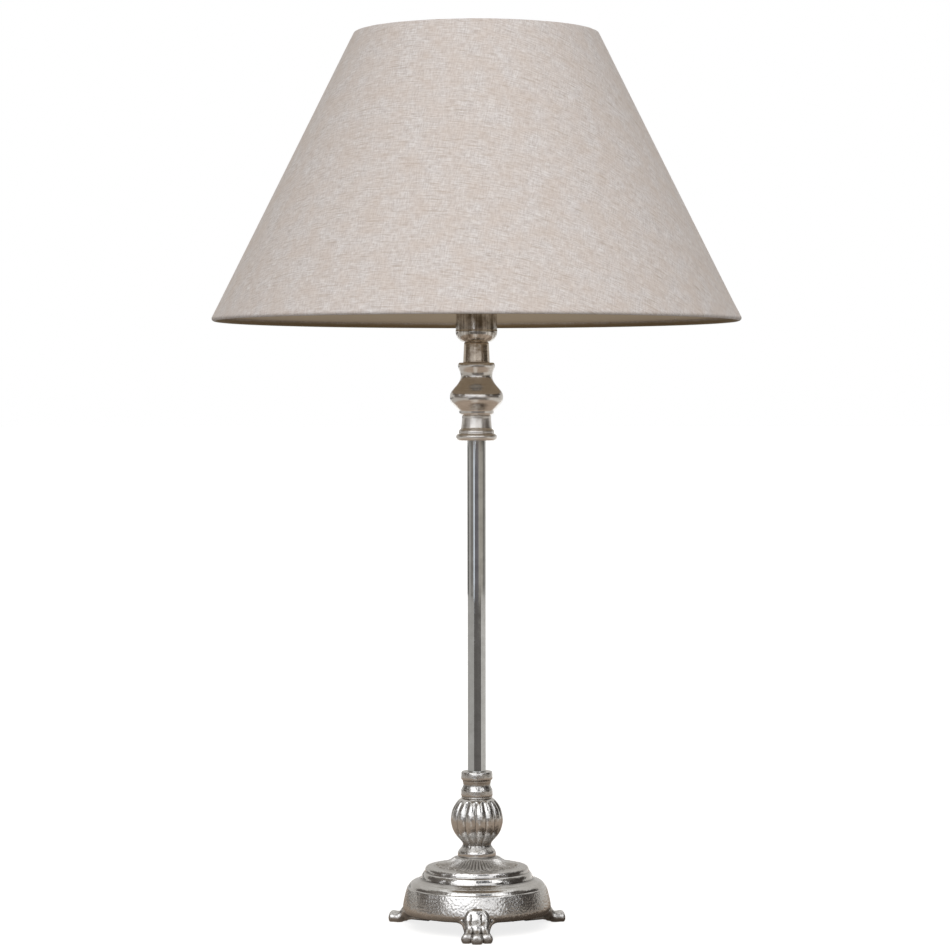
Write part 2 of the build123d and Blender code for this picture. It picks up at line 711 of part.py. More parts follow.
def rim_hem(plane):
    """Cloth that turns round a rim wire and lies on the inside of the liner."""
    outer, inner = HEM_R, HEM_R - CLOTH_T
    turn = radians(HEM_TURN)
    end_out = Vector(outer * sin(turn), -outer * cos(turn))
    end_in = Vector(inner * sin(turn), -inner * cos(turn))
    along = Vector(cos(turn), sin(turn)) * HEM_TAIL
    edges = [
        ThreePointArc((0, outer), (-outer, 0), end_out),
        Line(end_out, end_out + along),
        Line(end_out + along, end_in + along),
        Line(end_in + along, end_in),
        ThreePointArc(end_in, (-inner, 0), (0, inner)),
        Line((0, inner), (0, outer)),
    ]
    return revolve(plane * make_face(edges), Axis.Z)


def bottom_hem():
    return rim_hem(wall_plane())


def top_hem():
    """Hem at the upper rim, notched where the carrier's arms pass."""
    origin = (TOP_WIRE_R, 0, Z_TOP_WIRE)
    hem = rim_hem(Plane(origin=origin, x_dir=(-UP_WALL.X, 0, -UP_WALL.Y), z_dir=(0, -1, 0)))
    return hem - spun(arm_line(ARM_R + FIT), ARM_ANGLES)


def rim_wire(radius, height):
    return Pos(0, 0, height) * Torus(radius, RIM_WIRE_R)


def arm_line(radius):
    """A cylinder from the carrier ring up to the middle of the top wire."""
    low = Vector((REDUCER_HUB_R + CARRIER_R) / 2 + 0.4, 0, Z_CARRIER + CARRIER_T)
    high = Vector(TOP_WIRE_R, 0, Z_TOP_WIRE)
    way = (high - low).normalized()
    return Plane(origin=low - way * 4, z_dir=way) * extrude(Circle(radius), (high - low).length + 4)


def carrier_arm(angle):
    """Straight wire leg from the carrier ring up to the top wire."""
    leg = arm_line(ARM_R) - rod(CARRIER_R + 20, Z_CARRIER - 20, Z_CARRIER + CARRIER_T)
    leg -= Pos(0, 0, Z_TOP_WIRE) * Torus(TOP_WIRE_R, RIM_WIRE_R + 0.02)
    leg = leg.solids().sort_by(Axis.Z)[0]
    return Rot(0, 0, angle) * leg


NODES = {
    "base_dome": base_dome(),
    "foot_front": paw_foot(FOOT_ANGLES[0]),
    "foot_rear_right": paw_foot(FOOT_ANGLES[1]),
    "foot_rear_left": paw_foot(FOOT_ANGLES[2]),
    "foot_screws": foot_screws(),
    "ballast_plate": ballast_plate(),
    "cord_bush": cord_bush(),
    "terminal_block": terminal_block(),
    "block_screws": block_screws(),
    "fluted_knop": fluted_knop(),
    "knop_cup": knop_cup(),
    "column_tube": column_tube(),
    "tube_collar": tube_collar(),
    "upper_vase": upper_vase(),
    "neck_sleeve": neck_sleeve(),
    "tie_rod": tie_rod(),
    "rod_washer": rod_washer(),
    "earth_tag": earth_tag(),
    "rod_nut": hex_nut(Z_PAD - WASHER_T - TAG_T - NUT_H, NUT_H),
    "lock_nut": hex_nut(Z_CAP + ENTRY_H, LOCK_NUT_H),
    "live_wire": supply_wire(-1),
    "neutral_wire": supply_wire(1),
    "earth_wire": earth_wire(),
    "lampholder_cap": lampholder_cap(),
    "lampholder_barrel": lampholder_barrel(),
    "lampholder_insulator": lampholder_insulator(),
    "terminal_screws": terminal_screws(),
    "contact_plunger_left": contact_plunger(-1),
    "contact_plunger_right": contact_plunger(1),
    "plunger_spring_left": plunger_spring(-1),
    "plunger_spring_right": plunger_spring(1),
    "bayonet_sleeve": bayonet_sleeve(),
    "reducer_ring": reducer_ring(),
    "shade_ring": shade_ring(),
    "carrier_ring": carrier_ring(),
    "carrier_arm_rear": carrier_arm(ARM_ANGLES[0]),
    "carrier_arm_left": carrier_arm(ARM_ANGLES[1]),
    "carrier_arm_right": carrier_arm(ARM_ANGLES[2]),
    "top_wire": rim_wire(TOP_WIRE_R, Z_TOP_WIRE),
    "bottom_wire": rim_wire(BOTTOM_WIRE_R, Z_LOW_WIRE),
    "shade_liner": shade_liner(),
    "shade_cover": shade_cover(),
    "top_hem": top_hem(),
    "bottom_hem": bottom_hem(),
}

os.makedirs("parts", exist_ok=True)
for name, shape in NODES.items():
    export_step(shape, f"parts/{name}.step")
print(len(NODES), "nodes, overall height", round(Z_SHADE + SHADE_H, 2))
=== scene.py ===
# %% [markdown]
# # A table lamp in cast nickel and linen
# The lamp stands on a sand-cast, nickel-plated foot with three paws. Above it come a fluted knop,
# a plain tube, a turned vase and a lampholder, and a tapered linen shade hangs on the lampholder.
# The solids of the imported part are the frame. This lesson gives each of them its finish, and makes
# new meshes only where the real piece has more shape than the solid, as the castings and the cloth
# have, or where it gives way, as two springs do.

# %% Load the frame
from math import acos, ceil, cos, pi, radians, sin, tau

import bpy
import numpy as np
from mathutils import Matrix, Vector, noise


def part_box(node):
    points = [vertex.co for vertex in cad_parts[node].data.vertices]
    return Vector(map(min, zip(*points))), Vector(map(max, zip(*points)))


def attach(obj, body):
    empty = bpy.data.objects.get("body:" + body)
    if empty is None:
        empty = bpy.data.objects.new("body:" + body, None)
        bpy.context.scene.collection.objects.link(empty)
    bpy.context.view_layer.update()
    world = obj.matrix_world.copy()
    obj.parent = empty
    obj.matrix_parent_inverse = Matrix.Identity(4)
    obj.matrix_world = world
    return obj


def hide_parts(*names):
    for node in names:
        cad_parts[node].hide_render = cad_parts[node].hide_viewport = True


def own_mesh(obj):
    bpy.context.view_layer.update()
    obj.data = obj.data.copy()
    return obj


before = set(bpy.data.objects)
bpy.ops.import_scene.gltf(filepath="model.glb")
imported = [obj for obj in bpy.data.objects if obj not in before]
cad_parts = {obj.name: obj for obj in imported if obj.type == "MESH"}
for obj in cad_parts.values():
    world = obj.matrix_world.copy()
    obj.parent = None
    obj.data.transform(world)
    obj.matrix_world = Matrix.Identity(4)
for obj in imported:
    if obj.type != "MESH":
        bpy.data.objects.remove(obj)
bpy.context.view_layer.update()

MM = 0.001

# %% [markdown]
# ## The camera
# The picture was taken from 2.4 m away with a long lens, a little above the middle of the lamp.
# A long lens far away keeps the rims of the shade nearly straight lines. The lens is chosen so that
# the lamp's height fills its share of the frame.

# %% Camera
CAMERA_FAR = 2.358
CAMERA_HIGH = 0.396
CAMERA_LEFT = 0.0012
LOOK_DOWN = radians(1.235)
ROLL = radians(0.05)  # the picture hangs this much to the left
SENSOR = 36.0
LENS = 117.6


def linked(name, data):
    """A new object in the scene."""
    thing = bpy.data.objects.new(name, data)
    scene.collection.objects.link(thing)
    return thing


scene = bpy.context.scene
scene.view_settings.view_transform = "Standard"
camera = linked("camera", bpy.data.cameras.new("camera"))
camera.data.sensor_width = SENSOR
camera.data.lens = LENS
camera.location = (-CAMERA_LEFT, -CAMERA_FAR, CAMERA_HIGH)
camera.rotation_euler = (pi / 2 - LOOK_DOWN, 0, 0)
camera.rotation_euler.rotate_axis("Z", -ROLL)
scene.camera = camera
print("camera at", [round(v, 3) for v in camera.location])

# %% [markdown]
# ## Small tools for materials
# Colours are written as sRGB hex values, the way a colour picker gives them, and the shader wants
# linear light. Every node in this file is added by one function, which also fills its inputs. The
# kinds that come back in most materials have a short function each: arithmetic, a range, noise, a mix
# of two tones, and bump.

# %% Colour and node tools
def linear(hex_colour):
    """sRGB hex to linear red, green, blue and alpha."""
    parts = [int(hex_colour[i : i + 2], 16) / 255 for i in (1, 3, 5)]
    return [c / 12.92 if c <= 0.04045 else ((c + 0.055) / 1.055) ** 2.4 for c in parts] + [1.0]


def per(size_mm):
    """Texture scale at which one feature measures this many millimetres."""
    return 1 / (size_mm * MM)


def set_inputs(node, inputs):
    """Fills inputs of a node with values or with links."""
    for name, value in inputs.items():
        if isinstance(value, bpy.types.NodeSocket):
            node.id_data.links.new(value, node.inputs[name])
        else:
            node.inputs[name].default_value = value


def add(tree, kind, inputs=None, **settings):
    """Adds a node with its settings, and fills its inputs."""
    node = tree.nodes.new(kind)
    for name, value in settings.items():
        setattr(node, name, value)
    set_inputs(node, inputs or {})
    return node


def maths(tree, operation, *values):
    return add(tree, "ShaderNodeMath", dict(enumerate(values)), operation=operation).outputs[0]


def ranged(tree, value, *limits, **settings):
    """A value mapped from the first two limits to the next two, or to 0 and 1."""
    inputs = dict(enumerate((value, *limits)))
    return add(tree, "ShaderNodeMapRange", inputs, **settings).outputs[0]


def speckle(tree, place, scale, detail, rough=0.5, **settings):
    """Noise from 0 to 1."""
    inputs = {"Vector": place, "Scale": scale, "Detail": detail, "Roughness": rough}
    return add(tree, "ShaderNodeTexNoise", inputs, **settings).outputs["Fac"]


def toned(tree, share, low, high):
    """A colour between two, each of them a hex value or a link."""
    low, high = (linear(c) if isinstance(c, str) else c for c in (low, high))
    return add(tree, "ShaderNodeMix", {0: share, 6: low, 7: high}, data_type="RGBA").outputs[2]


def bumped(tree, height, strength, depth_mm, **under):
    """A fine relief in the shading, on top of another one where that is given."""
    inputs = {"Height": height, "Strength": strength, "Distance": depth_mm * MM} | under
    return add(tree, "ShaderNodeBump", inputs).outputs[0]


def start_material(name):
    """A new material with its node tree and its main shader."""
    material = bpy.data.materials.new(name)
    material.use_nodes = True
    return material, material.node_tree, material.node_tree.nodes["Principled BSDF"]


print("nickel in linear light:", [round(c, 3) for c in linear("#D0C9BF")])

# %% [markdown]
# ## Floor, background and light
# Polished metal has almost no colour of its own: it shows the room. So the studio is built first.
# The floor and the world are white to the camera and to reflections, and the floor keeps the shadow.

# %% World and floor
FILL_STRENGTH = 0.33
FLOOR_HALF = 60.0
FLOOR_GLOW = 0.80


def seen_directly(tree):
    """1 for rays of the camera, of reflections and through glass."""
    path = add(tree, "ShaderNodeLightPath").outputs
    either = maths(tree, "MAXIMUM", path["Is Camera Ray"], path["Is Glossy Ray"])
    return maths(tree, "MAXIMUM", either, path["Is Transmission Ray"])


def new_mesh(name, points, faces):
    mesh = bpy.data.meshes.new(name)
    mesh.from_pydata(points, [], faces)
    return mesh


world = bpy.data.worlds.new("white_studio")
world.use_nodes = True
scene.world = world
tree = world.node_tree
fill = tree.nodes["Background"]
set_inputs(fill, {"Color": linear("#FFFFFF"), "Strength": FILL_STRENGTH})
white = add(tree, "ShaderNodeBackground", {"Color": linear("#FFFFFF"), "Strength": 1.0})
choice = {0: seen_directly(tree), 1: fill.outputs[0], 2: white.outputs[0]}
set_inputs(tree.nodes["World Output"], {"Surface": add(tree, "ShaderNodeMixShader", choice).outputs[0]})

corners = [(x * FLOOR_HALF, y * FLOOR_HALF, 0) for x, y in ((-1, -1), (1, -1), (1, 1), (-1, 1))]
floor = linked("floor", new_mesh("floor", corners, [range(len(corners))]))
material, tree, shader = start_material("white_floor_paint")
glow = maths(tree, "MULTIPLY", seen_directly(tree), FLOOR_GLOW)
set_inputs(shader, {"Base Color": linear("#B4B3B1"), "Roughness": 0.9})
set_inputs(shader, {"Emission Color": linear("#FFFFFF"), "Emission Strength": glow})
floor.data.materials.append(material)
print("floor half width in m:", FLOOR_HALF)

# %% [markdown]
# A photographer sets cards around polished metal: pale ones draw highlights, dark ones draw edges.
# Most of these stand in a ring 4.2 m away, and only reflections see them. The left and right windows
# are the bright ones, with a dark pier between, which the steps of the foot show as two bright patches
# with a gap. Narrow bright strips on the side walls give the hammered band its sparkle.

# %% Cards for reflections
RING = 4.2
CARD_STEP = 4  # degrees
TABLE, TABLE_EDGE = 0.0002, 0.80
KNEE, LOW, BAR, HIGH, TOP = 0.32, 0.9, 1.6, 2.7, 6.0
CEILING, CEILING_R = 2.6, 1.1
FLAT_CARDS = (
    # name, from and to in degrees right of the front, from and to in metres away, height, tone
    ("table_left", -150, -34, TABLE_EDGE, RING, TABLE, "#BBB8B4"),
    ("table_middle", -34, 56, TABLE_EDGE, RING, TABLE, "#6C6865"),
    ("table_right", 56, 150, TABLE_EDGE, RING, TABLE, "#CFCBC6"),
    ("table_lit", -20, 4, 0.24, TABLE_EDGE, 2 * TABLE, "#D2CCC5"),
)
UPRIGHT_CARDS = (
    # name, from and to in degrees, lower and upper edge, tone, and for some strength and metres nearer
    ("low_far_left", -168, -122, 0, KNEE, "#454341"),
    ("low_pale_left", -122, -78, 0, KNEE, "#B4B1AD"),
    ("low_left", -78, -40, 0, KNEE, "#8E8A86"),
    ("low_streak", -40, -24, 0, KNEE, "#E4EAF3", 1.2),
    ("low_middle", -24, 24, 0, KNEE, "#757276"),
    ("low_right", 24, 84, 0, KNEE, "#B3ADA3"),
    ("low_far_right", 84, 126, 0, KNEE, "#86827D"),
    ("low_edge_right", 126, 160, 0, KNEE, "#D6D4D0"),
    ("low_back", 160, 192, 0, KNEE, "#B4B2AF"),
    ("middle_left", -112, -62, KNEE, LOW, "#6B645E"),
    ("middle_front", -62, 62, KNEE, LOW, "#867C74"),
    ("sill", -64, 46, 0.62, LOW, "#F4F5F8", 0.85, 0.05),
    ("middle_streak", -19, -10, KNEE, LOW, "#F0F3F8", 1.4, 0.1),
    ("middle_right", 62, 112, KNEE, LOW, "#4C4743"),
    ("back_low", 112, 248, KNEE, LOW, "#CDCBC8"),
    ("back", 130, 230, LOW, HIGH, "#C2BFBB"),
    ("back_high", 112, 248, HIGH, TOP, "#CDCBC8"),
    ("wall_left", -130, -58, LOW, HIGH, "#605B57"),
    ("jamb_left", -58, -48, LOW, BAR, "#6B645E"),
    ("wall_left_high", -112, -58, HIGH, TOP, "#7E7973"),
    ("strip_left", -82, -77, LOW, HIGH, "#FBFCFF", 1.4, 0.1),
    ("pane_left", -48, -3, LOW, BAR, "#F3F6FB", 1.25),
    ("window_left", -56, -3, BAR, TOP, "#FBFCFF", 2.4),
    ("window_right", 4, 38, LOW, HIGH, "#FBFCFF", 1.3),
    ("pier", -2, 34, HIGH, TOP, "#4D4F55"),
    ("window_side", 36, 62, HIGH, TOP, "#FBFCFF", 1.9),
    ("wall_right", 40, 130, LOW, HIGH, "#403C39", 1.0, -0.1),
    ("wall_right_high", 62, 112, HIGH, TOP, "#5E5A56", 1.0, -0.1),
    ("strip_right", 64, 68, LOW, HIGH, "#FBFCFF", 1.2, 0.1),
)


def card(name, start, end, low, high, tone, strength=1.0):
    """A card about the lamp, between two edges of (distance, height), that only reflections see."""
    turns = np.radians(np.linspace(start, end, ceil((end - start) / CARD_STEP) + 1))
    points = [(far * sin(t), -far * cos(t), up) for far, up in (low, high) for t in turns]
    count = len(turns)
    faces = [(n, n + 1, n + 1 + count, n + count) for n in range(count - 1)]
    material, tree, shader = start_material(f"{name}_paint")
    tree.nodes.remove(shader)
    paint = add(tree, "ShaderNodeEmission", {"Color": linear(tone), "Strength": strength})
    set_inputs(tree.nodes["Material Output"], {"Surface": paint.outputs[0]})
    panel = linked(name, new_mesh(name, points, faces))
    panel.data.materials.append(material)
    panel.visible_camera = False
    panel.visible_diffuse = False
    panel.visible_shadow = False
    return tree, paint


def upright_card(name, start, end, low, high, tone, strength=1.0, nearer=0.0):
    far = RING - nearer
    card(name, start, end, (far, low), (far, high), tone, strength)


for name, start, end, near, far, height, tone in FLAT_CARDS:
    card(name, start, end, (near, height), (far, height), tone)
for row in UPRIGHT_CARDS:
    upright_card(*row)
card("ceiling", -180, 180, (0.0, CEILING), (CEILING_R, CEILING), "#4B4D53")
print("cards:", len(FLAT_CARDS) + len(UPRIGHT_CARDS) + 1)

# %% [markdown]
# Close to the lamp the table lies in its shadow: almost black under the foot, brown around it, most of
# all on the right, away from the window, and paler outwards. The tone of that one card follows the
# distance from the foot's middle and from the middle of the shadow.

# %% Table around the lamp
SHADOW_MIDDLE = (0.05, 0, 0)
SHADOW_NEAR, SHADOW_FAR = 0.05, 0.22
UNDER_NEAR, UNDER_FAR = 0.048, 0.070
tree, paint = card("table_near", -180, 180, (0.02, TABLE), (TABLE_EDGE, TABLE), "#A3917F")
spot = add(tree, "ShaderNodeNewGeometry").outputs["Position"]
far = add(tree, "ShaderNodeVectorMath", {0: spot}, operation="LENGTH").outputs["Value"]
ends = {0: spot, 1: SHADOW_MIDDLE}
off = add(tree, "ShaderNodeVectorMath", ends, operation="DISTANCE").outputs["Value"]
shadow = ranged(tree, off, SHADOW_NEAR, SHADOW_FAR, interpolation_type="SMOOTHSTEP")
clear = ranged(tree, far, UNDER_NEAR, UNDER_FAR, interpolation_type="SMOOTHSTEP")
around = toned(tree, shadow, "#4A4139", "#A8998B")
set_inputs(paint, {"Color": toned(tree, clear, "#1B1714", around)})
print("table grows paler from", SHADOW_NEAR, "to", SHADOW_FAR, "m")

# %% [markdown]
# One wide sun from the front left lights cloth and floor evenly, so that the floor has no bright spot.
# Reflections do not see it: they have the windows.

# %% Sun
SUN_TURN, SUN_RISE = radians(-2), radians(34)
SUN_STRENGTH, SUN_WIDE = 2.25, radians(40)
sun = linked("sun", bpy.data.lights.new("sun", "SUN"))
sun.data.energy = SUN_STRENGTH
sun.data.angle = SUN_WIDE
sun.data.color = linear("#FFFDFA")[:3]
toward = Vector((sin(SUN_TURN) * cos(SUN_RISE), -cos(SUN_TURN) * cos(SUN_RISE), sin(SUN_RISE)))
sun.rotation_euler = (-toward).to_track_quat("-Z", "Y").to_euler()
sun.visible_glossy = False
print("sun at", [round(v, 2) for v in toward])

# %% [markdown]
# ## Metals
# The foot, paws, knop and cup are brass cast in sand and plated with nickel. Sand leaves a pitted,
# hammered skin, and polish brightens the mouldings. The sunk lines are painted brown-grey:
# partly a tarnish film, partly painted shade in the hollows. The meshes made below carry two
# values for that: recess, the depth of a hollow, and satin, how little a stretch was polished.

# %% Cast nickel
def on_object(tree):
    """Place on the object, for patterns that stay on it when it moves."""
    return add(tree, "ShaderNodeTexCoord").outputs["Object"]


def carried(tree, name):
    """A value that the points of the mesh carry."""
    return add(tree, "ShaderNodeAttribute", attribute_name=name).outputs["Fac"]


def cast_nickel():
    material, tree, shader = start_material("cast_nickel_plate")
    place = on_object(tree)
    plate = toned(tree, speckle(tree, place, per(7.0), 3.0, 0.6), "#CBC9C5", "#E6E4E1")
    satin = carried(tree, "satin")
    sand = speckle(tree, place, per(1.3), 2.0, 0.55)
    polish = ranged(tree, sand, 0.3, 0.7, 0.07, 0.15)
    looks = {
        # Hollows get the brown-grey #5A554F: partly tarnish film, partly painted shade.
        "Base Color": toned(tree, carried(tree, "recess"), plate, "#5A554F"),
        "Metallic": 1.0,
        "Roughness": maths(tree, "MULTIPLY_ADD", satin, 0.26, polish),
        "Normal": bumped(tree, sand, ranged(tree, satin, 0, 1, 0.1, 0.8), 0.12),
    }
    set_inputs(shader, looks)
    return material


CAST_NICKEL = cast_nickel()
print("made", CAST_NICKEL.name)

# %% [markdown]
# The vase, neck and collar are turned on a lathe before plating, and all but the collar are polished.
# They have a faint waviness and hair-fine marks that run around the piece. The cap of the lampholder is
# pressed from sheet, and the tube is drawn through a die. Both leave streaks that run up and down. On
# the cap the strong dark and bright streaks are partly those marks and partly painted reflections.
# Zinc-plated steel and brass parts inside follow the same recipe.

# %% Polished nickel and the plated tube
def polished_metal(name, dark, bright, rough_low, rough_high, wave_mm, marks_mm=(12, 0.5)):
    """A polished plate: slow clouds in tone and gloss, and fine marks, by default round the piece."""
    material, tree, shader = start_material(name)
    place = on_object(tree)
    across, along = marks_mm
    drawn = {"Vector": place, "Scale": (per(across), per(across), per(along))}
    marks = speckle(tree, add(tree, "ShaderNodeMapping", drawn).outputs[0], 1.0, 3.0)
    both = maths(tree, "MULTIPLY", marks, speckle(tree, place, per(9.0), 4.0, 0.65))
    ripple = bumped(tree, speckle(tree, place, per(wave_mm), 1.0), 0.35, 0.12)
    looks = {
        "Base Color": toned(tree, ranged(tree, both, 0.14, 0.36), dark, bright),
        "Metallic": 1.0,
        "Roughness": ranged(tree, both, 0.12, 0.42, rough_low, rough_high),
        "Normal": bumped(tree, marks, 0.12, 0.02, Normal=ripple),
    }
    set_inputs(shader, looks)
    return material


POLISHED_NICKEL = polished_metal("polished_nickel_plate", "#C9C4BD", "#DEDAD5", 0.13, 0.22, 6.0)
TURNED_NICKEL = polished_metal("turned_nickel_plate", "#DCD7D0", "#ECE8E3", 0.18, 0.28, 6.0)
SATIN_NICKEL = polished_metal("nickel_satin_turned", "#E6E2DC", "#F4F1EC", 0.28, 0.40, 3.0)
# The neck's plate: a darker, browner copy of the polished one, painted shade and warm reflection.
NECK_NICKEL_PAINTED_SHADE = polished_metal("nickel_plate_painted_shade", "#BDAF9E", "#DACEBE", 0.13, 0.22, 6.0)
# Cap: dark to bright streaks in the colour, partly draw marks and partly painted reflections.
DRAWN_NICKEL_PAINTED_STREAKS = polished_metal("drawn_nickel_painted_streaks", "#8A8175", "#EFEBE5", 0.10, 0.20, 8.0, (2.2, 40))
TUBE_CHROME = polished_metal("bright_chrome_plate", "#C6C7C6", "#DCDEDE", 0.03, 0.09, 14.0, (2.5, 400))
ZINC_STEEL = polished_metal("zinc_plated_steel", "#A9ADB0", "#C5C8C6", 0.22, 0.38, 3.0)
CONTACT_BRASS = polished_metal("drawn_brass", "#B5934F", "#D2B36A", 0.16, 0.30, 4.0)
print("made five nickel plates, chrome, zinc and brass")

# %% [markdown]
# ## Plain parts inside
# Few people look up into the lampholder or under the foot, but the pieces are there. Moulded and
# painted parts share one recipe: a slow change in tone, and a fine orange-peel in the surface.

# %% Plastics and paint
def moulded(name, dark, bright, rough, peel_mm, sheen_ior=1.5):
    """A moulded plastic or a sprayed paint."""
    material, tree, shader = start_material(name)
    place = on_object(tree)
    cloud = speckle(tree, place, per(12), 4.0)
    looks = {
        "Base Color": toned(tree, cloud, dark, bright),
        "IOR": sheen_ior,
        "Roughness": ranged(tree, cloud, 0, 1, rough - 0.06, rough + 0.06),
        "Normal": bumped(tree, speckle(tree, place, per(peel_mm), 2.0), 0.3, 0.04),
    }
    set_inputs(shader, looks)
    return material


BLACK_STEEL = moulded("black_lacquered_steel", "#1B1B1C", "#2C2B2B", 0.45, 1.2)
PHENOLIC = moulded("brown_phenolic_moulding", "#2A1912", "#3D2519", 0.32, 0.8, 1.6)
WHITE_PLASTIC = moulded("white_nylon", "#DEDBD3", "#EDEBE5", 0.42, 0.9, 1.53)
BLACK_PLASTIC = moulded("black_nylon", "#161616", "#242424", 0.48, 0.7, 1.53)
BROWN_WIRE = moulded("brown_pvc", "#4A2A1A", "#5F3722", 0.40, 0.6, 1.53)
BLUE_WIRE = moulded("blue_pvc", "#1E4E8C", "#2B63A8", 0.40, 0.6, 1.53)
WHITE_WIRE = moulded("white_enamelled_wire", "#D9D5CB", "#E8E5DD", 0.35, 0.8)
print("made 7 plastics and paints")

# %% [markdown]
# The earth wire is green with yellow stripes that wind around it. The stripe is a wave along the
# wire, coarse enough to show.

# %% Earth wire insulation
def striped_pvc():
    material, tree, shader = start_material("green_yellow_pvc")
    wave_in = {"Vector": on_object(tree), "Scale": per(9.0), "Distortion": 0.6}
    wave = add(tree, "ShaderNodeTexWave", wave_in, bands_direction="DIAGONAL").outputs["Fac"]
    stripes = toned(tree, ranged(tree, wave, 0.55, 0.65), "#2F7D3C", "#D9C22F")
    set_inputs(shader, {"Base Color": stripes, "Roughness": 0.42, "IOR": 1.53})
    return material


EARTH_WIRE = striped_pvc()
print("made", EARTH_WIRE.name)

# %% [markdown]
# The lining is a styrene film glued to the back of the cloth. The real film is off-white and
# slightly shiny; its dark brown-grey colour here is painted shade of the lampshade's inside.
# It shows a little of the cloth's grain through the glue. Daylight soaks through the cloth, so the
# film glows faintly on the inside. That share of light is given to it as an emission.

# %% Shade film
def styrene_film():
    material, tree, shader = start_material("styrene_shade_film")
    place = on_object(tree)
    looks = {
        # A dark brown-grey instead of the film's off-white: painted shade inside the lampshade.
        "Base Color": toned(tree, speckle(tree, place, per(26), 5.0), "#85775F", "#92846D"),
        "Roughness": 0.55,
        "IOR": 1.59,
        "Emission Color": linear("#EFD9BF"),
        "Emission Strength": 0.15,
        "Normal": bumped(tree, speckle(tree, place, per(1.4), 2.0), 0.25, 0.08),
    }
    set_inputs(shader, looks)
    return material


SHADE_FILM = styrene_film()
print("made", SHADE_FILM.name)

# %% [markdown]
# ## Finish of the carried-over solids
# A solid whose shape is right keeps its mesh and only gets a material. The table says which.

# %% Dress the solids
FINISHES = (
    (ZINC_STEEL, "foot_screws", "tie_rod", "rod_washer", "rod_nut", "lock_nut"),
    (ZINC_STEEL, "plunger_spring_left", "plunger_spring_right"),
    (BLACK_STEEL, "ballast_plate"),
    (BLACK_PLASTIC, "cord_bush"),
    (WHITE_PLASTIC, "terminal_block", "reducer_ring"),
    (CONTACT_BRASS, "block_screws", "earth_tag", "terminal_screws"),
    (CONTACT_BRASS, "contact_plunger_left", "contact_plunger_right"),
    (TUBE_CHROME, "column_tube"),
    (BROWN_WIRE, "live_wire"),
    (BLUE_WIRE, "neutral_wire"),
    (EARTH_WIRE, "earth_wire"),
    (DRAWN_NICKEL_PAINTED_STREAKS, "lampholder_cap"),
    (POLISHED_NICKEL, "lampholder_barrel", "bayonet_sleeve", "shade_ring"),
    (PHENOLIC, "lampholder_insulator"),
    (WHITE_WIRE, "carrier_ring", "carrier_arm_rear", "carrier_arm_left", "carrier_arm_right"),
    (WHITE_WIRE, "top_wire", "bottom_wire"),
    (SHADE_FILM, "shade_liner"),
)
for material, *solids in FINISHES:
    for name in solids:
        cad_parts[name].data.materials.clear()
        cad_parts[name].data.materials.append(material)
print("dressed", sum(len(row) - 1 for row in FINISHES), "solids")

# %% [markdown]
# Two coil springs hold the contact plungers up, and a bulb's cap pushes them down by 5 mm. Each
# coil is copied into a mesh of its own, which goes with the base, and the solid is hidden.

# %% Springs
for side in ("left", "right"):
    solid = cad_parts[f"plunger_spring_{side}"]
    coil = solid.data.copy()
    coil.transform(solid.matrix_world)
    spring = linked(f"contact_spring_{side}", coil)
    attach(spring, "base")
    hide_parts(f"plunger_spring_{side}")
    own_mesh(spring)

# %% [markdown]
# ## Cast pieces of the column
# The foot, the knop and the cup are round, but not smooth: the casting adds leaves, lobes and grain.
# A lathe mesh suits them. An outline of (radius, height) millimetres is turned about the axis, and a
# relief function pushes each point out or in. The outline has the solid's own measures, and a third
# number bulges the stretch that ends there.

# %% Lathe with relief
SKIN_STEP = 0.45  # mm between points of a cast skin
SAND_ROUNDS = 2  # how often sand rounds the corners of an outline
# The brown-grey of the hollows is a tarnish film together with painted shade.
FILM_AND_SHADE_REACH = 1.3  # mm around a point that decide if it lies in a hollow
FILM_AND_SHADE_HOLLOW, FILM_AND_SHADE_SUNK = 0.7, 0.45  # mm of depth that are fully covered by film


def even_points(outline, step):
    """Evenly spaced points along an outline of straight and bulging stretches."""
    dense = []
    for start, end in zip(outline, outline[1:]):
        a, b = np.array(start[:2]), np.array(end[:2])
        bulge = end[2] if len(end) == 3 else 0.0
        run = b - a
        side = np.array((run[1], -run[0])) / max(np.hypot(*run), 1e-9)
        t = np.linspace(0, 1, 40, endpoint=False)[:, None]
        dense.append(a + run * t + side * 4 * bulge * t * (1 - t))
    dense = np.vstack(dense + [np.array([outline[-1][:2]])])
    way = np.concatenate([[0], np.cumsum(np.hypot(*np.diff(dense, axis=0).T))])
    marks = np.linspace(0, way[-1], ceil(way[-1] / step) + 1)
    return np.column_stack([np.interp(marks, way, dense[:, n]) for n in (0, 1)])


def flowing(points, steps=8):
    """A smooth curve through the points of an outline, without corners."""
    keys = np.array([points[0], *points, points[-1]], float)
    t = np.linspace(0, 1, steps, endpoint=False)[:, None]
    curve = []
    for before, a, b, after in zip(keys, keys[1:], keys[2:], keys[3:]):
        bend = (2 * before - 5 * a + 4 * b - after) * t**2 + (3 * a - before - 3 * b + after) * t**3
        curve.append(a + ((b - before) * t + bend) / 2)
    return [tuple(p) for p in np.vstack(curve + [keys[-1:]]).tolist()]


def softened(points, rounds):
    """Rounds the corners of an outline, as sand does. The two ends stay."""
    points = points.copy()
    for _ in range(rounds):
        points[1:-1] = (points[:-2] + 2 * points[1:-1] + points[2:]) / 4
    return points


def smooth_mesh(name, points, faces):
    """A smooth mesh from points in millimetres."""
    mesh = new_mesh(name, (points * MM).tolist(), faces.tolist())
    mesh.polygons.foreach_set("use_smooth", np.ones(len(faces), bool))
    return mesh


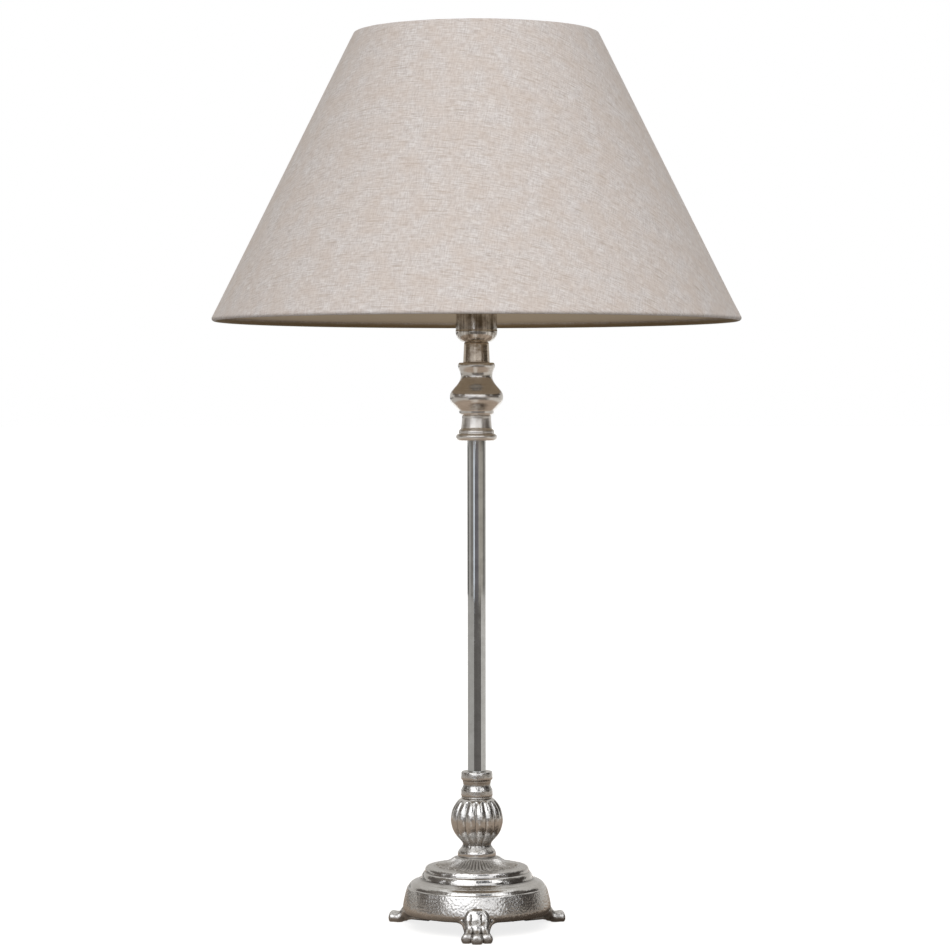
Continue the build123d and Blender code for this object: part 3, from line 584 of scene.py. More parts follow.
def grid_mesh(name, grid):
    """A mesh from rows of points. Each row closes on itself, and the last row meets the first."""
    rows, columns = grid.shape[:2]
    below = np.arange(rows * columns).reshape(rows, columns)
    above = np.roll(below, -1, 0)
    corners = [below, np.roll(below, -1, 1), np.roll(above, -1, 1), above]
    return smooth_mesh(name, grid.reshape(-1, 3), np.stack(corners, axis=-1).reshape(-1, 4))


def carry(mesh, values):
    """Gives the points of a mesh named values, for the material."""
    for name, numbers in values.items():
        mesh.attributes.new(name, "FLOAT", "POINT").data.foreach_set("value", numbers)


def turned(r, z, angle):
    """Points at a radius and height, turned about the axis from the front to the right."""
    return np.stack([r * np.sin(angle), -r * np.cos(angle), z + 0 * angle], axis=-1)


def grain(points, size_mm, seed):
    """Seeded noise from -1 to 1 at points in millimetres."""
    shift = Vector((seed * 17.3, seed * 5.1, seed * 9.7))
    flat = points.reshape(-1, 3) / size_mm
    return np.array([noise.noise(Vector(p) + shift) for p in flat]).reshape(points.shape[:-1])


def blurred(field, reach):
    """Mean over a small window of rows and columns; columns close on themselves."""
    total = sum(np.roll(field, n, axis=1) for n in range(-reach, reach + 1)) / (2 * reach + 1)
    padded = np.pad(total, ((reach, reach), (0, 0)), mode="edge")
    return sum(padded[n : n + len(field)] for n in range(2 * reach + 1)) / (2 * reach + 1)


def cast_skin(name, outline, inside, relief, segments, satin, material):
    """A closed lathe mesh whose outside carries a relief. Its points know their recess and satin."""
    outside = softened(even_points(outline, SKIN_STEP), SAND_ROUNDS)
    tangent = np.gradient(outside, axis=0)
    tangent /= np.hypot(*tangent.T)[:, None]
    normal = np.column_stack([tangent[:, 1], -tangent[:, 0]])
    angle = np.linspace(0, tau, segments, endpoint=False)
    r, z = outside[:, 0, None], outside[:, 1, None]
    height = relief(angle[None, :], r, z, turned(r, z, angle))
    # Recess marks the hollows that get the brown-grey of painted shade and tarnish film.
    window = ceil(FILM_AND_SHADE_REACH / SKIN_STEP)
    hollow = np.einsum("ij,ij->i", softened(outside, 3 * window**2) - outside, normal)[:, None]
    sunk = (blurred(height, window) - height) / FILM_AND_SHADE_SUNK
    recess = np.clip(np.clip(hollow / FILM_AND_SHADE_HOLLOW, 0, 1) + np.clip(sunk, 0, 0.7), 0, 1)
    skin = turned(r + normal[:, 0, None] * height, z + normal[:, 1, None] * height, angle)
    back = np.array(inside)[:, :, None]
    core = turned(back[:, 0], back[:, 1], angle)
    mesh = grid_mesh(name, np.vstack([skin, core]))
    fields = {"recess": recess, "satin": np.broadcast_to(satin(r, z), height.shape)}
    spare = np.zeros(len(inside) * segments)
    carry(mesh, {key: np.concatenate([field.ravel(), spare]) for key, field in fields.items()})
    mesh.materials.append(material)
    print(name, "has", len(mesh.vertices), "points")
    return linked(name, mesh)


def even(amount):
    """One finish for a whole piece."""
    return lambda r, z: amount + 0 * r


def eased(value, low, high):
    """0 below low, 1 above high, and smooth between."""
    share = np.clip((value - low) / (high - low), 0, 1)
    return share * share * (3 - 2 * share)


def bell(off, width):
    """1 in the middle of a line or groove, and soon 0 beside it."""
    return np.exp(-((off / width) ** 2))


# %% [markdown]
# ## The foot
# A hammered band, two stepped mouldings and a hollow rise with a ring of fine leaves, all one casting.
# Each leaf is two ribs with a sharp valley between. The band turns under at its lower edge, which is
# smooth and shows the brown table, and a thin flash is left there, where the halves of the mould met.

# %% Foot
BAND_LOW, BAND_HIGH = 12.5, 31.8
BAND_FOOT_R, BAND_TOP_R = 57.0, 52.9
BAND_SWELL = 0.5
TUCK, TUCK_HIGH = 1.6, 6.0
SEAT_HIGH = 54.8
WALL = 3.6
ROD_HOLE = 5.25


def band_radius(z):
    """Radius of the band at a height: it leans in and swells a little."""
    share = (z - BAND_LOW) / (BAND_HIGH - BAND_LOW)
    return BAND_FOOT_R - (BAND_FOOT_R - BAND_TOP_R) * share + 4 * BAND_SWELL * share * (1 - share)


def tuck(z):
    """How far the band's lower edge turns under at a height."""
    return TUCK * np.clip(1 - (z - BAND_LOW) / TUCK_HIGH, 0, 1) ** 2


FOOT_OUTLINE = [
    (53.45, BAND_LOW),
    *((band_radius(z) - tuck(z), z) for z in np.linspace(BAND_LOW, BAND_HIGH, 20)),
    (52.3, BAND_HIGH),
    (46.5, 36.6, 1.1),
    (42.6, 38.2),
    (40.3, 43.2, 0.4),
    (39.7, 43.2),
    (38.0, 47.3, 0.5),
    (30.0, 47.9),
    (15.2, SEAT_HIGH, -1.6),
    (ROD_HOLE, SEAT_HIGH),
]
FOOT_INSIDE = [
    (ROD_HOLE, 45.8),
    (9.5, 45.8),
    (30.0 - WALL, 47.9 - WALL),
    (39.7 - WALL, 43.2 - WALL),
    (42.6 - WALL, 38.2 - WALL),
    (46.5 - WALL, 36.6 - WALL),
    (49.7, 19.5),
    (53.45, 19.5),
]
LEAVES = 30
LEAF_TIP = 33.0
LEAF_RISE = 1.1
FLASH_TURN = radians(29.4)


def foot_relief(angle, r, z, points):
    band = eased(z, BAND_LOW + 2.0, BAND_LOW + 6.0)
    band = band * (1 - eased(z, BAND_HIGH - 1.6, BAND_HIGH - 0.4))
    rise = eased(z, 45.5, 47.0)
    sand = 0.04 + 0.10 * band + 0.11 * rise
    height = sand * grain(points, 1.4, 1) + 0.08 * grain(points, 7.0, 2)
    half_leaf = np.abs(np.cos(angle * LEAVES)) ** 1.3
    tip = LEAF_TIP - 3.0 * np.abs((angle * LEAVES / tau) % 1 - 0.5) ** 2 * 4
    leaf = half_leaf * eased(r, 15.6, 17.0) * (1 - eased(r, tip - 2.0, tip)) * rise
    flash = bell((angle - FLASH_TURN) * r, 0.35) * (1 - eased(z, 15.0, 16.5)) * (r > 50)
    return height + LEAF_RISE * leaf + 0.3 * flash


def foot_satin(r, z):
    band = 1 - eased(z, BAND_HIGH - 1.0, BAND_HIGH)
    return 0.25 + 0.3 * band + 0.5 * eased(z, 45.0, 47.0)


foot = cast_skin("cast_foot", FOOT_OUTLINE, FOOT_INSIDE, foot_relief, 840, foot_satin, CAST_NICKEL)

# %% [markdown]
# The cord inlet is a hole drilled through the band at the back. A boolean with a plain cylinder cuts
# it, and the result is kept as the mesh, so that no modifier is left.

# %% Cord inlet
INLET_R = 5.95
DRILL_IN, DRILL_OUT = 40.0, 70.0
DRILL_POINT = 0.01
DRILL = ((DRILL_POINT, DRILL_IN), (INLET_R, DRILL_IN), (INLET_R, DRILL_OUT), (DRILL_POINT, DRILL_OUT))
inlet_low, inlet_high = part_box("cord_bush")
inlet_z = (inlet_low.z + inlet_high.z) / 2 / MM
ring = np.linspace(0, tau, 96, endpoint=False)
drill_rows = []
for radius, depth in DRILL:
    circle = [radius * np.cos(ring), np.full_like(ring, depth), inlet_z - radius * np.sin(ring)]
    drill_rows.append(np.stack(circle, axis=-1))
drill = linked("drill", grid_mesh("drill", np.array(drill_rows)))
cut = foot.modifiers.new("inlet", "BOOLEAN")
cut.operation = "DIFFERENCE"
cut.solver = "EXACT"
cut.object = drill
bpy.context.view_layer.update()
cast = bpy.data.meshes.new_from_object(foot.evaluated_get(bpy.context.evaluated_depsgraph_get()))
foot.modifiers.clear()
foot.data = cast
bpy.data.objects.remove(drill)
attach(foot, "base")
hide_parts("base_dome")
print("foot after drilling:", len(cast.vertices), "points")

# %% [markdown]
# ## The knop and its cup
# Fourteen lobes run down the bulb and die out at its waist. A lobe is the absolute value of a cosine:
# round on top, with a sharp valley to the next.

# %% Knop
SEAT = SEAT_HIGH
CUP_SEAT = 99.2
BULB_R = 19.8
BULB_MIDDLE = SEAT + 28.4
BULB_LOW, BULB_HIGH = 21.0, 20.5
LOBES = 14
LOBE_DEPTH = 1.7
LOBE_TURN = radians(-3.5)


def bulb_radius(z):
    half = np.where(z < BULB_MIDDLE, BULB_LOW, BULB_HIGH)
    return BULB_R * np.sqrt(np.clip(1 - ((z - BULB_MIDDLE) / half) ** 2, 0, 1))


bulb = [(float(bulb_radius(z)), z) for z in np.linspace(BULB_MIDDLE - 12.0, BULB_MIDDLE + 14.5, 24)]
WAIST = [
    (14.5, SEAT + 2.8),
    (14.3, SEAT + 3.8),
    (12.9, SEAT + 5.7),
    (11.3, SEAT + 7.6),
    (10.6, SEAT + 9.4),
    (11.8, SEAT + 11.5),
    (14.3, SEAT + 14.2),
    bulb[0],
]
KNOP_OUTLINE = [
    (ROD_HOLE, SEAT),
    (14.0, SEAT),
    (14.5, SEAT + 0.5),
    *flowing(WAIST),
    *bulb[1:],
    (11.7, CUP_SEAT),
    (ROD_HOLE, CUP_SEAT),
]
KNOP_INSIDE = [(ROD_HOLE, z) for z in np.linspace(CUP_SEAT - 3, SEAT + 3, 5)]


def knop_relief(angle, r, z, points):
    fade = eased(z, SEAT + 5.0, SEAT + 14.0) * (1 - eased(z, CUP_SEAT - 2.6, CUP_SEAT - 0.6))
    valley = 1 - np.abs(np.cos((angle - LOBE_TURN) * LOBES / 2 - pi / 2)) ** 0.75
    share = np.clip(r / BULB_R, 0, 1)
    height = 0.07 * grain(points, 1.4, 3) + 0.12 * grain(points, 5.0, 4)
    return height * (z > SEAT + 0.3) - LOBE_DEPTH * fade * share * valley


def knop_satin(r, z):
    waist = (1 - eased(z, BULB_MIDDLE - 16, BULB_MIDDLE - 4)) * eased(z, SEAT + 3, SEAT + 6)
    return 0.4 + 0.2 * waist


knop = cast_skin("cast_knop", KNOP_OUTLINE, KNOP_INSIDE, knop_relief, 560, knop_satin, CAST_NICKEL)
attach(knop, "base")
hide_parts("fluted_knop")

# %% Cup
CUP_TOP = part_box("knop_cup")[1].z / MM
CUP_H = CUP_TOP - CUP_SEAT
SOCKET_R = 7.05
CUP_OUTLINE = [
    (ROD_HOLE, CUP_SEAT),
    (11.5, CUP_SEAT),
    (11.9, CUP_SEAT + 0.6, 0.1),
    (11.9, CUP_SEAT + 0.32 * CUP_H, 0.15),
    (10.3, CUP_SEAT + 0.5 * CUP_H, -0.3),
    (12.0, CUP_SEAT + 0.72 * CUP_H, -0.4),
    (11.7, CUP_TOP - 0.8, 0.15),
    (10.8, CUP_TOP, 0.25),
    (8.6, CUP_TOP),
    (SOCKET_R, CUP_TOP - 1.2),
]
CUP_INSIDE = [(SOCKET_R, CUP_TOP - 6), (ROD_HOLE, CUP_TOP - 6)]


def cup_relief(angle, r, z, points):
    grooves = sum(bell(z - CUP_SEAT - up, 0.45) for up in (1.5, 0.66 * CUP_H))
    pits = 0.08 * grain(points, 1.3, 5) + 0.06 * grain(points, 4.0, 6)
    return (pits - 0.45 * grooves) * (z > CUP_SEAT + 0.3) * (r > 8)


cup = cast_skin("cast_cup", CUP_OUTLINE, CUP_INSIDE, cup_relief, 360, even(0.55), CAST_NICKEL)
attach(cup, "base")
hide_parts("knop_cup")

# %% [markdown]
# ## Collar, vase and neck
# These three are cast too, then turned. The lathe and the polish leave a faint unevenness, so that a
# window's highlight has a soft, wandering edge. The collar keeps some pits, and its rings are satin.

# %% Collar
def turned_relief(low, high, *waves):
    """Seeded waves of (depth, size, seed) on the outside of a piece, between its two end faces."""

    def relief(angle, r, z, points):
        inner = (r > 8) * (z > low + 0.3) * (z < high - 0.3)
        return inner * sum(depth * grain(points, size, seed) for depth, size, seed in waves)

    return relief


COLLAR_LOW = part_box("tube_collar")[0].z / MM
VASE_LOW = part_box("upper_vase")[0].z / MM
NECK_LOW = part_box("neck_sleeve")[0].z / MM
CAP_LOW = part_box("lampholder_cap")[0].z / MM
COLLAR_OUTLINE = [
    (SOCKET_R, COLLAR_LOW),
    (13.7, COLLAR_LOW),
    (15.2, COLLAR_LOW + 1.6, 0.35),
    (14.9, COLLAR_LOW + 4.7, 0.45),
    (13.3, COLLAR_LOW + 5.1, -0.2),
    (13.3, COLLAR_LOW + 8.0, 0.2),
    (11.7, COLLAR_LOW + 9.2, -0.2),
    (10.9, VASE_LOW - 1.5, -0.1),
    (11.2, VASE_LOW),
    (ROD_HOLE, VASE_LOW),
]
COLLAR_INSIDE = [(ROD_HOLE, COLLAR_LOW + 6), (SOCKET_R, COLLAR_LOW + 6)]
collar_waves = turned_relief(COLLAR_LOW, VASE_LOW, (0.03, 1.4, 21), (0.08, 5.0, 22))
collar_shape = (COLLAR_OUTLINE, COLLAR_INSIDE, collar_waves)
collar = cast_skin("turned_collar", *collar_shape, 360, even(0), SATIN_NICKEL)
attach(collar, "base")
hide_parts("tube_collar")

# %% Vase
VASE_H = NECK_LOW - VASE_LOW
VASE_KEYS = (  # radius, share of the height
    (13.3, 0.10),
    (18.3, 0.222),
    (19.8, 0.290),
    (20.15, 0.356),
    (19.6, 0.432),
    (17.2, 0.513),
    (14.5, 0.59),
    (12.6, 0.668),
    (12.0, 0.724),
    (11.95, 0.770),
    (12.35, 0.818),
    (13.15, 0.868),
    (13.95, 0.925),
    (14.0, 0.965),
    (13.2, 1.0),
)
VASE_OUTLINE = [
    (ROD_HOLE, VASE_LOW),
    (11.3, VASE_LOW),
    (11.4, VASE_LOW + 0.9),
    (12.8, VASE_LOW + 1.2, 0.1),
    (13.0, VASE_LOW + 0.085 * VASE_H, 0.1),
    *flowing([(r, VASE_LOW + share * VASE_H) for r, share in VASE_KEYS]),
    (ROD_HOLE, NECK_LOW),
]
VASE_INSIDE = [(ROD_HOLE, NECK_LOW - 3), (ROD_HOLE, VASE_LOW + 3)]
vase_waves = turned_relief(VASE_LOW, NECK_LOW, (0.07, 6.0, 23), (0.015, 2.0, 24))
vase = cast_skin("turned_vase", VASE_OUTLINE, VASE_INSIDE, vase_waves, 420, even(0), TURNED_NICKEL)
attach(vase, "base")
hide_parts("upper_vase")

# %% Neck
NECK_OUTLINE = [
    (ROD_HOLE, NECK_LOW),
    (10.3, NECK_LOW),
    (10.1, NECK_LOW + 0.8),
    (9.4, CAP_LOW - 0.4),
    (9.0, CAP_LOW),
    (ROD_HOLE, CAP_LOW),
]
NECK_INSIDE = [(ROD_HOLE, CAP_LOW - 3), (ROD_HOLE, NECK_LOW + 3)]
neck_waves = turned_relief(NECK_LOW, CAP_LOW, (0.05, 5.0, 25), (0.015, 1.6, 26))
# The neck is painted darker and browner, as shade and warm reflection under the lampshade.
neck = cast_skin("turned_neck", NECK_OUTLINE, NECK_INSIDE, neck_waves, 300, even(0), NECK_NICKEL_PAINTED_SHADE)
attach(neck, "base")
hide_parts("neck_sleeve")

# %% [markdown]
# ## The paws
# A paw is a lump of soft forms that run into each other, so it is described by distances instead of
# faces: a negative number is inside the metal. Smooth minimums melt the forms together and leave the
# fillets of a casting. A simple surface-net turns the field into a mesh.

# %% Field tools
def melted(a, b, reach):
    """Smooth minimum of two distance fields."""
    share = np.clip(0.5 + 0.5 * (b - a) / reach, 0, 1)
    return b + (a - b) * share - reach * share * (1 - share)


def tapered_bar(p, start, end, start_r, end_r):
    """Distance to a round bar between two points."""
    a, b = np.array(start, float), np.array(end, float)
    along = np.clip(((p - a) @ (b - a)) / ((b - a) @ (b - a)), 0, 1)
    away = np.linalg.norm(p - a - along[..., None] * (b - a), axis=-1)
    return away - (start_r + (end_r - start_r) * along)


def surface_net(field, low, high, step):
    """Points and faces of the zero surface of a field inside a box, in millimetres."""
    axes = [np.arange(a, b + step, step) for a, b in zip(low, high)]
    corners = np.stack(np.meshgrid(*axes, indexing="ij"), axis=-1)
    value = field(corners)
    cells = tuple(n - 1 for n in value.shape)
    total, count = np.zeros(cells + (3,)), np.zeros(cells)
    edges = []
    for axis in range(3):
        ends = np.roll(value, -1, axis)
        crossing = (value < 0) != (ends < 0)
        crossing[tuple(slice(-1, None) if n == axis else slice(None) for n in range(3))] = False
        share = np.where(crossing, value / np.where(crossing, value - ends, 1), 0)
        spot = corners.copy()
        spot[..., axis] += share * step
        others = [n for n in range(3) if n != axis]
        for da in (0, 1):
            for db in (0, 1):
                shift = [0, 0, 0]
                shift[others[0]], shift[others[1]] = da, db
                part = tuple(slice(s, s + n) for s, n in zip(shift, cells))
                total += np.where(crossing[part][..., None], spot[part], 0)
                count += crossing[part]
        edges.append((axis, others, np.argwhere(crossing)))
    used = count > 0
    number = np.full(cells, -1)
    number[used] = np.arange(used.sum())
    points = total[used] / count[used][:, None]
    faces = []
    for axis, (a, b), spots in edges:
        inner = np.all((spots[:, [a, b]] > 0) & (spots[:, [a, b]] < np.array(cells)[[a, b]]), axis=1)
        spots = spots[inner & (spots[:, axis] < cells[axis])]
        ring_of_four = []
        for da, db in ((0, 0), (1, 0), (1, 1), (0, 1)):
            cell = spots.copy()
            cell[:, a] -= da
            cell[:, b] -= db
            ring_of_four.append(number[tuple(cell.T)])
        quad = np.stack(ring_of_four, axis=1)
        outward = (value[tuple(spots.T)] < 0) == (axis != 1)
        quad[~outward] = quad[~outward][:, ::-1]
        faces.append(quad)
    for _ in range(3):
        points -= near_step(field, points)
    return points, np.vstack(faces)


def near_step(field, points, reach=0.05):
    """How far points have to move to lie on the zero surface."""
    here = field(points)
    rises = [field(points + reach * d) - field(points - reach * d) for d in np.eye(3)]
    slope = np.stack(rises, axis=-1) / (2 * reach)
    return slope * (here / np.maximum((slope**2).sum(axis=-1), 0.05))[:, None]


print("field tools ready")

# %% [markdown]
# The paw stands in front of the band. Its knee is a raised panel with round upper corners and two
# grooves, and it runs down into three blunt toes, the middle one broader and ahead. A piece of the
# band itself is part of the field, a hair under the real one, so that the metal melts into it.

# %% Paw
PANEL_TOP = 23.2
PANEL_ROUND = 7.5
PANEL_EDGE = 2.2
GROOVE = 0.6
TOE_TIP = 77.2
TOE_BACK = 4.0
TOE_SPREAD = 7.6
TOE_R = 4.2
PAW_STEP = 0.5
PAW_FILM_AND_SHADE = 0.14
PAW_TURNS = {"front": -90, "rear_right": 30, "rear_left": 150}


def paw_knee(x, y, z, band):
    """The raised panel, narrower and further out towards the toes, and the distance from its rim."""
    half = 8.0 + 1.3 * eased(z, 7, 16)
    beside = np.maximum(np.abs(y) - half + PANEL_ROUND, 0)
    above = np.maximum(z - PANEL_TOP + PANEL_ROUND, 0)
    arch = np.hypot(beside, above) - PANEL_ROUND
    slope = 0.42 * np.clip(15.5 - z, 0, 4.3) - 0.25 * np.clip(11.2 - z, 0, 9)
    swell = 3.5 + slope - 0.02 * np.clip(z - 13, 0, 20) ** 2 - 0.012 * y**2
    ahead = x - np.sqrt(np.maximum(band**2 - y**2, 1)) - swell
    side, front = arch + PANEL_EDGE, ahead + PANEL_EDGE
    outside = np.hypot(np.maximum(side, 0), np.maximum(front, 0)) - PANEL_EDGE
    knee = np.minimum(np.maximum(side, front), 0) + outside
    grooves = bell(np.abs(y + 0.6) - 4.0, 0.8) * eased(z, 11.5, 14.0)
    toe_lines = bell(np.abs(y) - 3.5, 0.7) * (1 - eased(z, 9.0, 12.0))
    lined = knee + GROOVE * grooves * (1 - eased(z, 18.5, 20.5)) + GROOVE * toe_lines
    return np.maximum(lined, 3.0 - z), arch


def bent_bar(p, side, tip, radius):
    """A toe without its blunt end: it comes steeply down from the knee and bends forward."""
    bend = (65.5, side * 6.7, 3.3)
    steep = tapered_bar(p, (59.5, side * 5.0, 8.6), bend, 3.7, 3.7)
    end = (tip - 2.2, side * TOE_SPREAD, 7.4 - radius)
    return melted(steep, tapered_bar(p, bend, end, 3.7, radius), 2.0)


def paw_toes(p):
    """Three blunt toes on a web that fills the gaps between them up to their last third."""
    across = np.zeros_like(p)
    across[..., 1] = np.clip(p[..., 1], -6.0, 6.0)
    toes = bent_bar(p - across, 0, 72.0, 3.0) + 0.8
    for side, back, radius in ((0, 0.0, 4.5), (1, TOE_BACK, TOE_R), (-1, TOE_BACK, TOE_R)):
        blunt = -melted(-bent_bar(p, side, TOE_TIP - back, radius), TOE_TIP - back - p[..., 0], 2.6)
        toes = melted(toes, blunt, 1.1)
    return toes


def paw_field(p):
    x, y, z = p[..., 0], p[..., 1], p[..., 2]
    band = band_radius(z)
    knee, arch = paw_knee(x, y, z, band)
    paw = melted(knee, paw_toes(p), 4.0)
    far = np.hypot(x, y)
    band = band - tuck(z)
    shell = np.maximum(np.maximum(far - band + 0.15, band - 3.0 - far), np.abs(y) - 19)
    shell = np.maximum(shell, np.maximum(BAND_LOW + 0.1 - z, z - BAND_HIGH + 3))
    fillet = 2.2 + (5.6 - 4.8 * eased(z, 12, 17)) * eased(arch, -3.5, 0)
    paw = melted(paw, shell, fillet)
    paw = paw + 0.7 * bell(arch - 1.0, 1.2) * eased(z, 12, 17)
    lug = np.maximum(np.hypot(x - np.clip(x, 46, 50), y) - 7.5, np.abs(z - 10.5) - 2.0)
    return np.maximum(np.maximum(np.minimum(paw, lug), -z), 38.5 - x)


paw_points, paw_faces = surface_net(paw_field, (37, -21, -1), (79, 21, 27), PAW_STEP)
rough_cast = 0.05 * grain(paw_points, 1.5, 7) + 0.06 * grain(paw_points, 4.0, 8)
print("one paw:", len(paw_points), "points,", len(paw_faces), "faces")

# %% [markdown]
# The hollows of the paw get the same brown-grey, tarnish film and painted shade. A hollow is where
# a point lies below the mean of its neighbours, and that mean is taken over a few rings of faces.

# %% Set the three paws
def neighbour_mean(values, faces, rounds):
    """Mean of each point's values over its faces, repeated to reach further."""
    for _ in range(rounds):
        face_mean = values[faces].mean(axis=1)
        total = np.zeros_like(values)
        count = np.zeros(len(values))
        for n in range(4):
            np.add.at(total, faces[:, n], face_mean)
            np.add.at(count, faces[:, n], 1)
        values = total / count[:, None]
    return values


def paw_mesh(name, turn):
    turn = radians(turn)
    spin = np.array([[cos(turn), -sin(turn), 0], [sin(turn), cos(turn), 0], [0, 0, 1]])
    mesh = smooth_mesh(name, paw_points @ spin.T, paw_faces)
    mesh.update()
    facing = np.zeros(len(paw_points) * 3)
    mesh.vertex_normals.foreach_get("vector", facing)
    facing = facing.reshape(-1, 3)
    below_mean = neighbour_mean(paw_points, paw_faces, 6) - paw_points
    pull = np.einsum("ij,ij->i", below_mean @ spin.T, facing)
    worn = 0.85 - 0.35 * eased(paw_points[:, 2], 7, 12)
    # Recess: the paw's hollows get the brown-grey of painted shade and tarnish film.
    carry(mesh, {"recess": np.clip(pull / PAW_FILM_AND_SHADE, 0, 1), "satin": worn})
    standing = np.where(paw_points[:, 2] > 0.4, rough_cast, 0)
    moved = (paw_points @ spin.T + facing * standing[:, None]) * MM
    mesh.vertices.foreach_set("co", moved.ravel())
    mesh.update()
    return mesh


for where, turn in PAW_TURNS.items():
    paw = linked(f"paw_{where}", paw_mesh(f"paw_{where}", turn))
    paw.data.materials.append(CAST_NICKEL)
    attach(paw, "base")
    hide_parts(f"foot_{where}")
print("paws:", list(PAW_TURNS))

# %% [markdown]
# ## Linen
# The cloth is a plain-woven natural linen: flax threads of uneven thickness, warm grey, with slubs.
# Its threads are straight on the flat cut, which is a sector of a ring, so on the shade they slope
# more and more towards the sides. The UV map is that flat cut in metres, and the weave follows it.
# A thread measures about half a millimetre, too fine for the picture, so the weave is drawn at 1.3 mm.
# Single thick threads, the slubs, are browner. The turned-in edges are painted a darker brown:
# painted shade inside the rims.

# %% Linen material
THREAD_MM = 1.3


def linen():
    material, tree, shader = start_material("natural_linen")
    cut = add(tree, "ShaderNodeUVMap", uv_map="flat_cut").outputs["UV"]

    def spread(across, along):
        scale = {"Vector": cut, "Scale": (per(across), per(along), 1)}
        return add(tree, "ShaderNodeMapping", scale).outputs[0]

    def streaks(across, along):
        return speckle(tree, spread(across, along), 1.0, 3.0, 0.6, noise_dimensions="2D")

    cloud = speckle(tree, cut, per(18), 5.0, 0.6, noise_dimensions="2D")
    weft, warp, slub = streaks(7, 0.9), streaks(0.9, 6), streaks(24, 1.3)
    threads = add(tree, "ShaderNodeMix", {0: 0.44, 2: weft, 3: warp}).outputs[0]
    flax = toned(tree, ranged(tree, threads, 0.34, 0.66), "#BCB3AF", "#E2DEDD")
    slubby = toned(tree, ranged(tree, slub, 0.60, 0.76, 0.0, 0.6), flax, "#A49384")
    clouded = toned(tree, ranged(tree, cloud, 0.32, 0.68, 0.0, 0.42), slubby, "#C9B9AD")
    weave = {"Vector": spread(THREAD_MM, THREAD_MM), "Scale": 1.0}
    cross = add(tree, "ShaderNodeTexChecker", weave).outputs["Fac"]
    lift = maths(tree, "MULTIPLY_ADD", cross, 0.25, threads)
    looks = {
        # The turned-in edges are painted a darker brown, #7E6A4C, as shade inside the rims.
        "Base Color": toned(tree, carried(tree, "hem_shade"), clouded, "#7E6A4C"),
        "Roughness": 0.92,
        "Specular IOR Level": 0.2,
        "Sheen Weight": 0.25,
        "Sheen Roughness": 0.5,
        "Sheen Tint": linear("#E9DFD3"),
        "Normal": bumped(tree, lift, 0.35, 0.2),
    }
    set_inputs(shader, looks)
    return material


LINEN = linen()
print("made", LINEN.name)

# %% [markdown]
# ## The shade
# One strip of cloth covers the shade. It turns round the lower wire, runs straight up the wall, turns
# round the upper wire, and both edges are glued down inside. The mesh follows that path, with the
# cloth's thickness, so that the rolled rims are real. Hand-turned hems are never quite even, and the
# strip overlaps itself in a glued seam at the back.

# %% Path of the cloth
CLOTH = 0.7
HEM_R = 2.0
WIRE_DEEP = 2.35  # from the outside of the solid hem to the middle of its wire
TOP_WIRE_R = 91.6
TAIL = 2.4
WALL_ROWS = 120
HEM_TURN = radians(22)
low_box, high_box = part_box("bottom_hem"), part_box("top_hem")
LOW_WIRE = np.array([low_box[1].x / MM - WIRE_DEEP, low_box[0].z / MM + WIRE_DEEP])
TOP_WIRE = np.array([TOP_WIRE_R, high_box[1].z / MM - WIRE_DEEP])
wall_way = TOP_WIRE - LOW_WIRE
WALL_LONG = float(np.hypot(*wall_way))
up_wall = wall_way / WALL_LONG
out_wall = np.array([up_wall[1], -up_wall[0]])
SLANT = acos(up_wall[1])


def hem_path(depth, steps=18):
    """(along, out) points from the glued edge round a wire to the wall, at a depth into the cloth."""
    radius = HEM_R - depth
    end = np.array([radius * sin(HEM_TURN), -radius * cos(HEM_TURN)])
    tail = end + np.array([cos(HEM_TURN), sin(HEM_TURN)]) * TAIL
    turn = np.linspace(-pi / 2 + HEM_TURN, -3 * pi / 2, steps)
    curve = np.column_stack([radius * np.cos(turn), radius * np.sin(turn)])
    return np.vstack([np.linspace(tail, end, 7)[:-1], curve])


def cloth_path(depth):
    """The whole path, from the lower glued edge to the upper one."""
    low = hem_path(depth)
    steps = np.linspace(0, WALL_LONG, WALL_ROWS)[1:-1]
    wall = np.column_stack([steps, np.full_like(steps, HEM_R - depth)])
    top = hem_path(depth)[::-1] * [-1, 1] + [WALL_LONG, 0]
    return np.vstack([low, wall, top])


outer_path, inner_path = cloth_path(0), cloth_path(CLOTH)
middle_path = (outer_path + inner_path) / 2
strip = np.concatenate([[0], np.cumsum(np.hypot(*np.diff(middle_path, axis=0).T))])
low_hem = strip[len(hem_path(0)) - 1]
print("cloth strip in mm:", round(float(strip[-1]), 1), "wall:", round(WALL_LONG, 1))

# %% [markdown]
# The unevenness is small and seeded: the rims wander by a few tenths of a millimetre, the glued edges
# by a millimetre, and the wall is drawn in a little between the wires, because linen is never rigid.

# %% Cloth mesh
TURNS = 720
SEAM_HALF = radians(2.6)
angle = np.linspace(-pi, pi, TURNS, endpoint=False) + pi / TURNS


def wander(size_mm, radius_mm, seed):
    """Seeded wave round a rim, from -1 to 1, that closes on itself."""
    return grain(turned(radius_mm, 0, angle), size_mm, seed)


LOW_WAVE = 0.35 * wander(34, 198, 11) + 0.18 * wander(9, 198, 12)
TOP_WAVE = 0.25 * wander(30, 92, 13) + 0.14 * wander(8, 92, 14)
EDGE_WAVE = 0.9 * wander(14, 198, 15) + 0.5 * wander(5, 198, 16)
WALL_WAVE = 0.15 + 0.12 * wander(120, 150, 17)


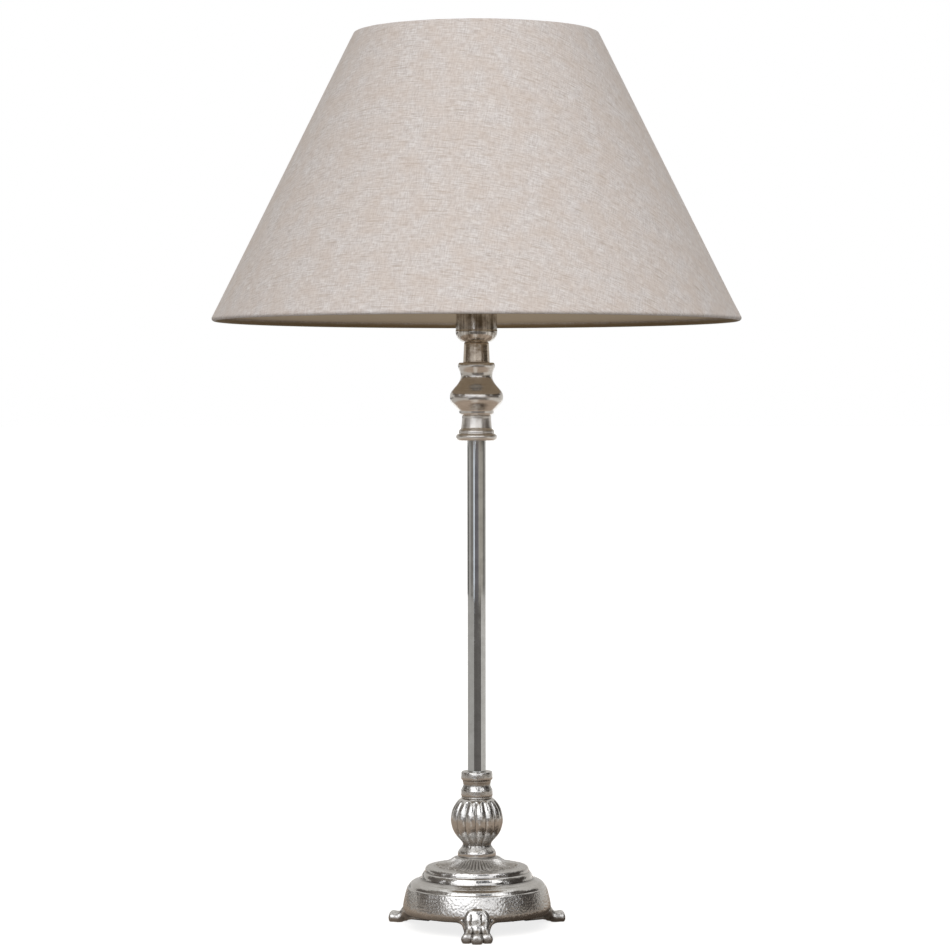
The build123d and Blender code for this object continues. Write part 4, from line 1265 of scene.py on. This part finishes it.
def placed(path, seam):
    """Points in space of a path turned about the axis, with the hand-made unevenness."""
    along, out = path[:, 0, None], path[:, 1, None]
    low_half = along < WALL_LONG / 2
    from_rim = np.where(low_half, along, WALL_LONG - along)
    rim_share = (1 - eased(from_rim, 2.0, 14.0)) * eased(out, -1.0, 0.5)
    tail_share = (1 - eased(out, -2.0, -0.5)) * np.clip(from_rim / TAIL, 0, 1)
    slack = np.sin(np.clip(along / WALL_LONG, 0, 1) * pi) * (out > 0)
    along = along + np.where(low_half, 1, -1) * tail_share * EDGE_WAVE
    out = out + rim_share * np.where(low_half, LOW_WAVE, TOP_WAVE) - slack * WALL_WAVE
    overlap = (pi - angle < SEAM_HALF) & (angle > 0)
    out = out + overlap * CLOTH * seam
    r = LOW_WIRE[0] + along * up_wall[0] + out * out_wall[0]
    z = LOW_WIRE[1] + along * up_wall[1] + out * out_wall[1]
    return turned(r, z, angle)


outer = placed(outer_path, 0.9)
inner = placed(inner_path, 0.0)
cover_mesh = grid_mesh("linen_cover", np.vstack([outer, inner[::-1]]))
# Marks the turned-in edges and the inner side of the rolled rims for painted shade.
hem_shade_share = 1 - eased(outer_path[:, 1], -HEM_R, 0.0)
hem_shade_share = np.repeat(np.concatenate([hem_shade_share, hem_shade_share[::-1]]), TURNS)
carry(cover_mesh, {"hem_shade": hem_shade_share})
print("linen cover:", len(cover_mesh.vertices), "points")

# %% [markdown]
# The flat cut: a cone rolls out to a sector whose radius is the distance to the cone's tip. The cut
# lies on the loom so that the weft is level a little left of the front.

# %% Flat cut as UV
TIP_FAR = LOW_WIRE[0] / sin(SLANT)
LEVEL_TURN = radians(-23)


def flat_cut(path_strip, turn):
    far = TIP_FAR - (path_strip - low_hem)
    fan = (turn - LEVEL_TURN) * sin(SLANT)
    return np.stack([far[:, None] * np.sin(fan), -far[:, None] * np.cos(fan)], axis=-1) * MM


def lay_flat(mesh, rows, columns):
    """Writes the flat cut to the UV map, face by face, so that the seam at the back stays open."""
    both = np.concatenate([strip, strip[::-1]])
    edge = np.linspace(-pi, pi, columns + 1) + pi / columns
    cut = flat_cut(both, edge[None, :])
    row = np.repeat(np.arange(rows), columns)
    column = np.tile(np.arange(columns), rows)
    above = (row + 1) % rows
    order = ((row, column), (row, column + 1), (above, column + 1), (above, column))
    uv = np.stack([cut[r, c] for r, c in order], axis=1)
    mesh.uv_layers.new(name="flat_cut").data.foreach_set("uv", uv.astype(np.float32).ravel())


lay_flat(cover_mesh, 2 * len(strip), TURNS)
cover = linked("linen_cover", cover_mesh)
cover.data.materials.append(LINEN)
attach(cover, "shade")
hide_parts("shade_cover", "top_hem", "bottom_hem")
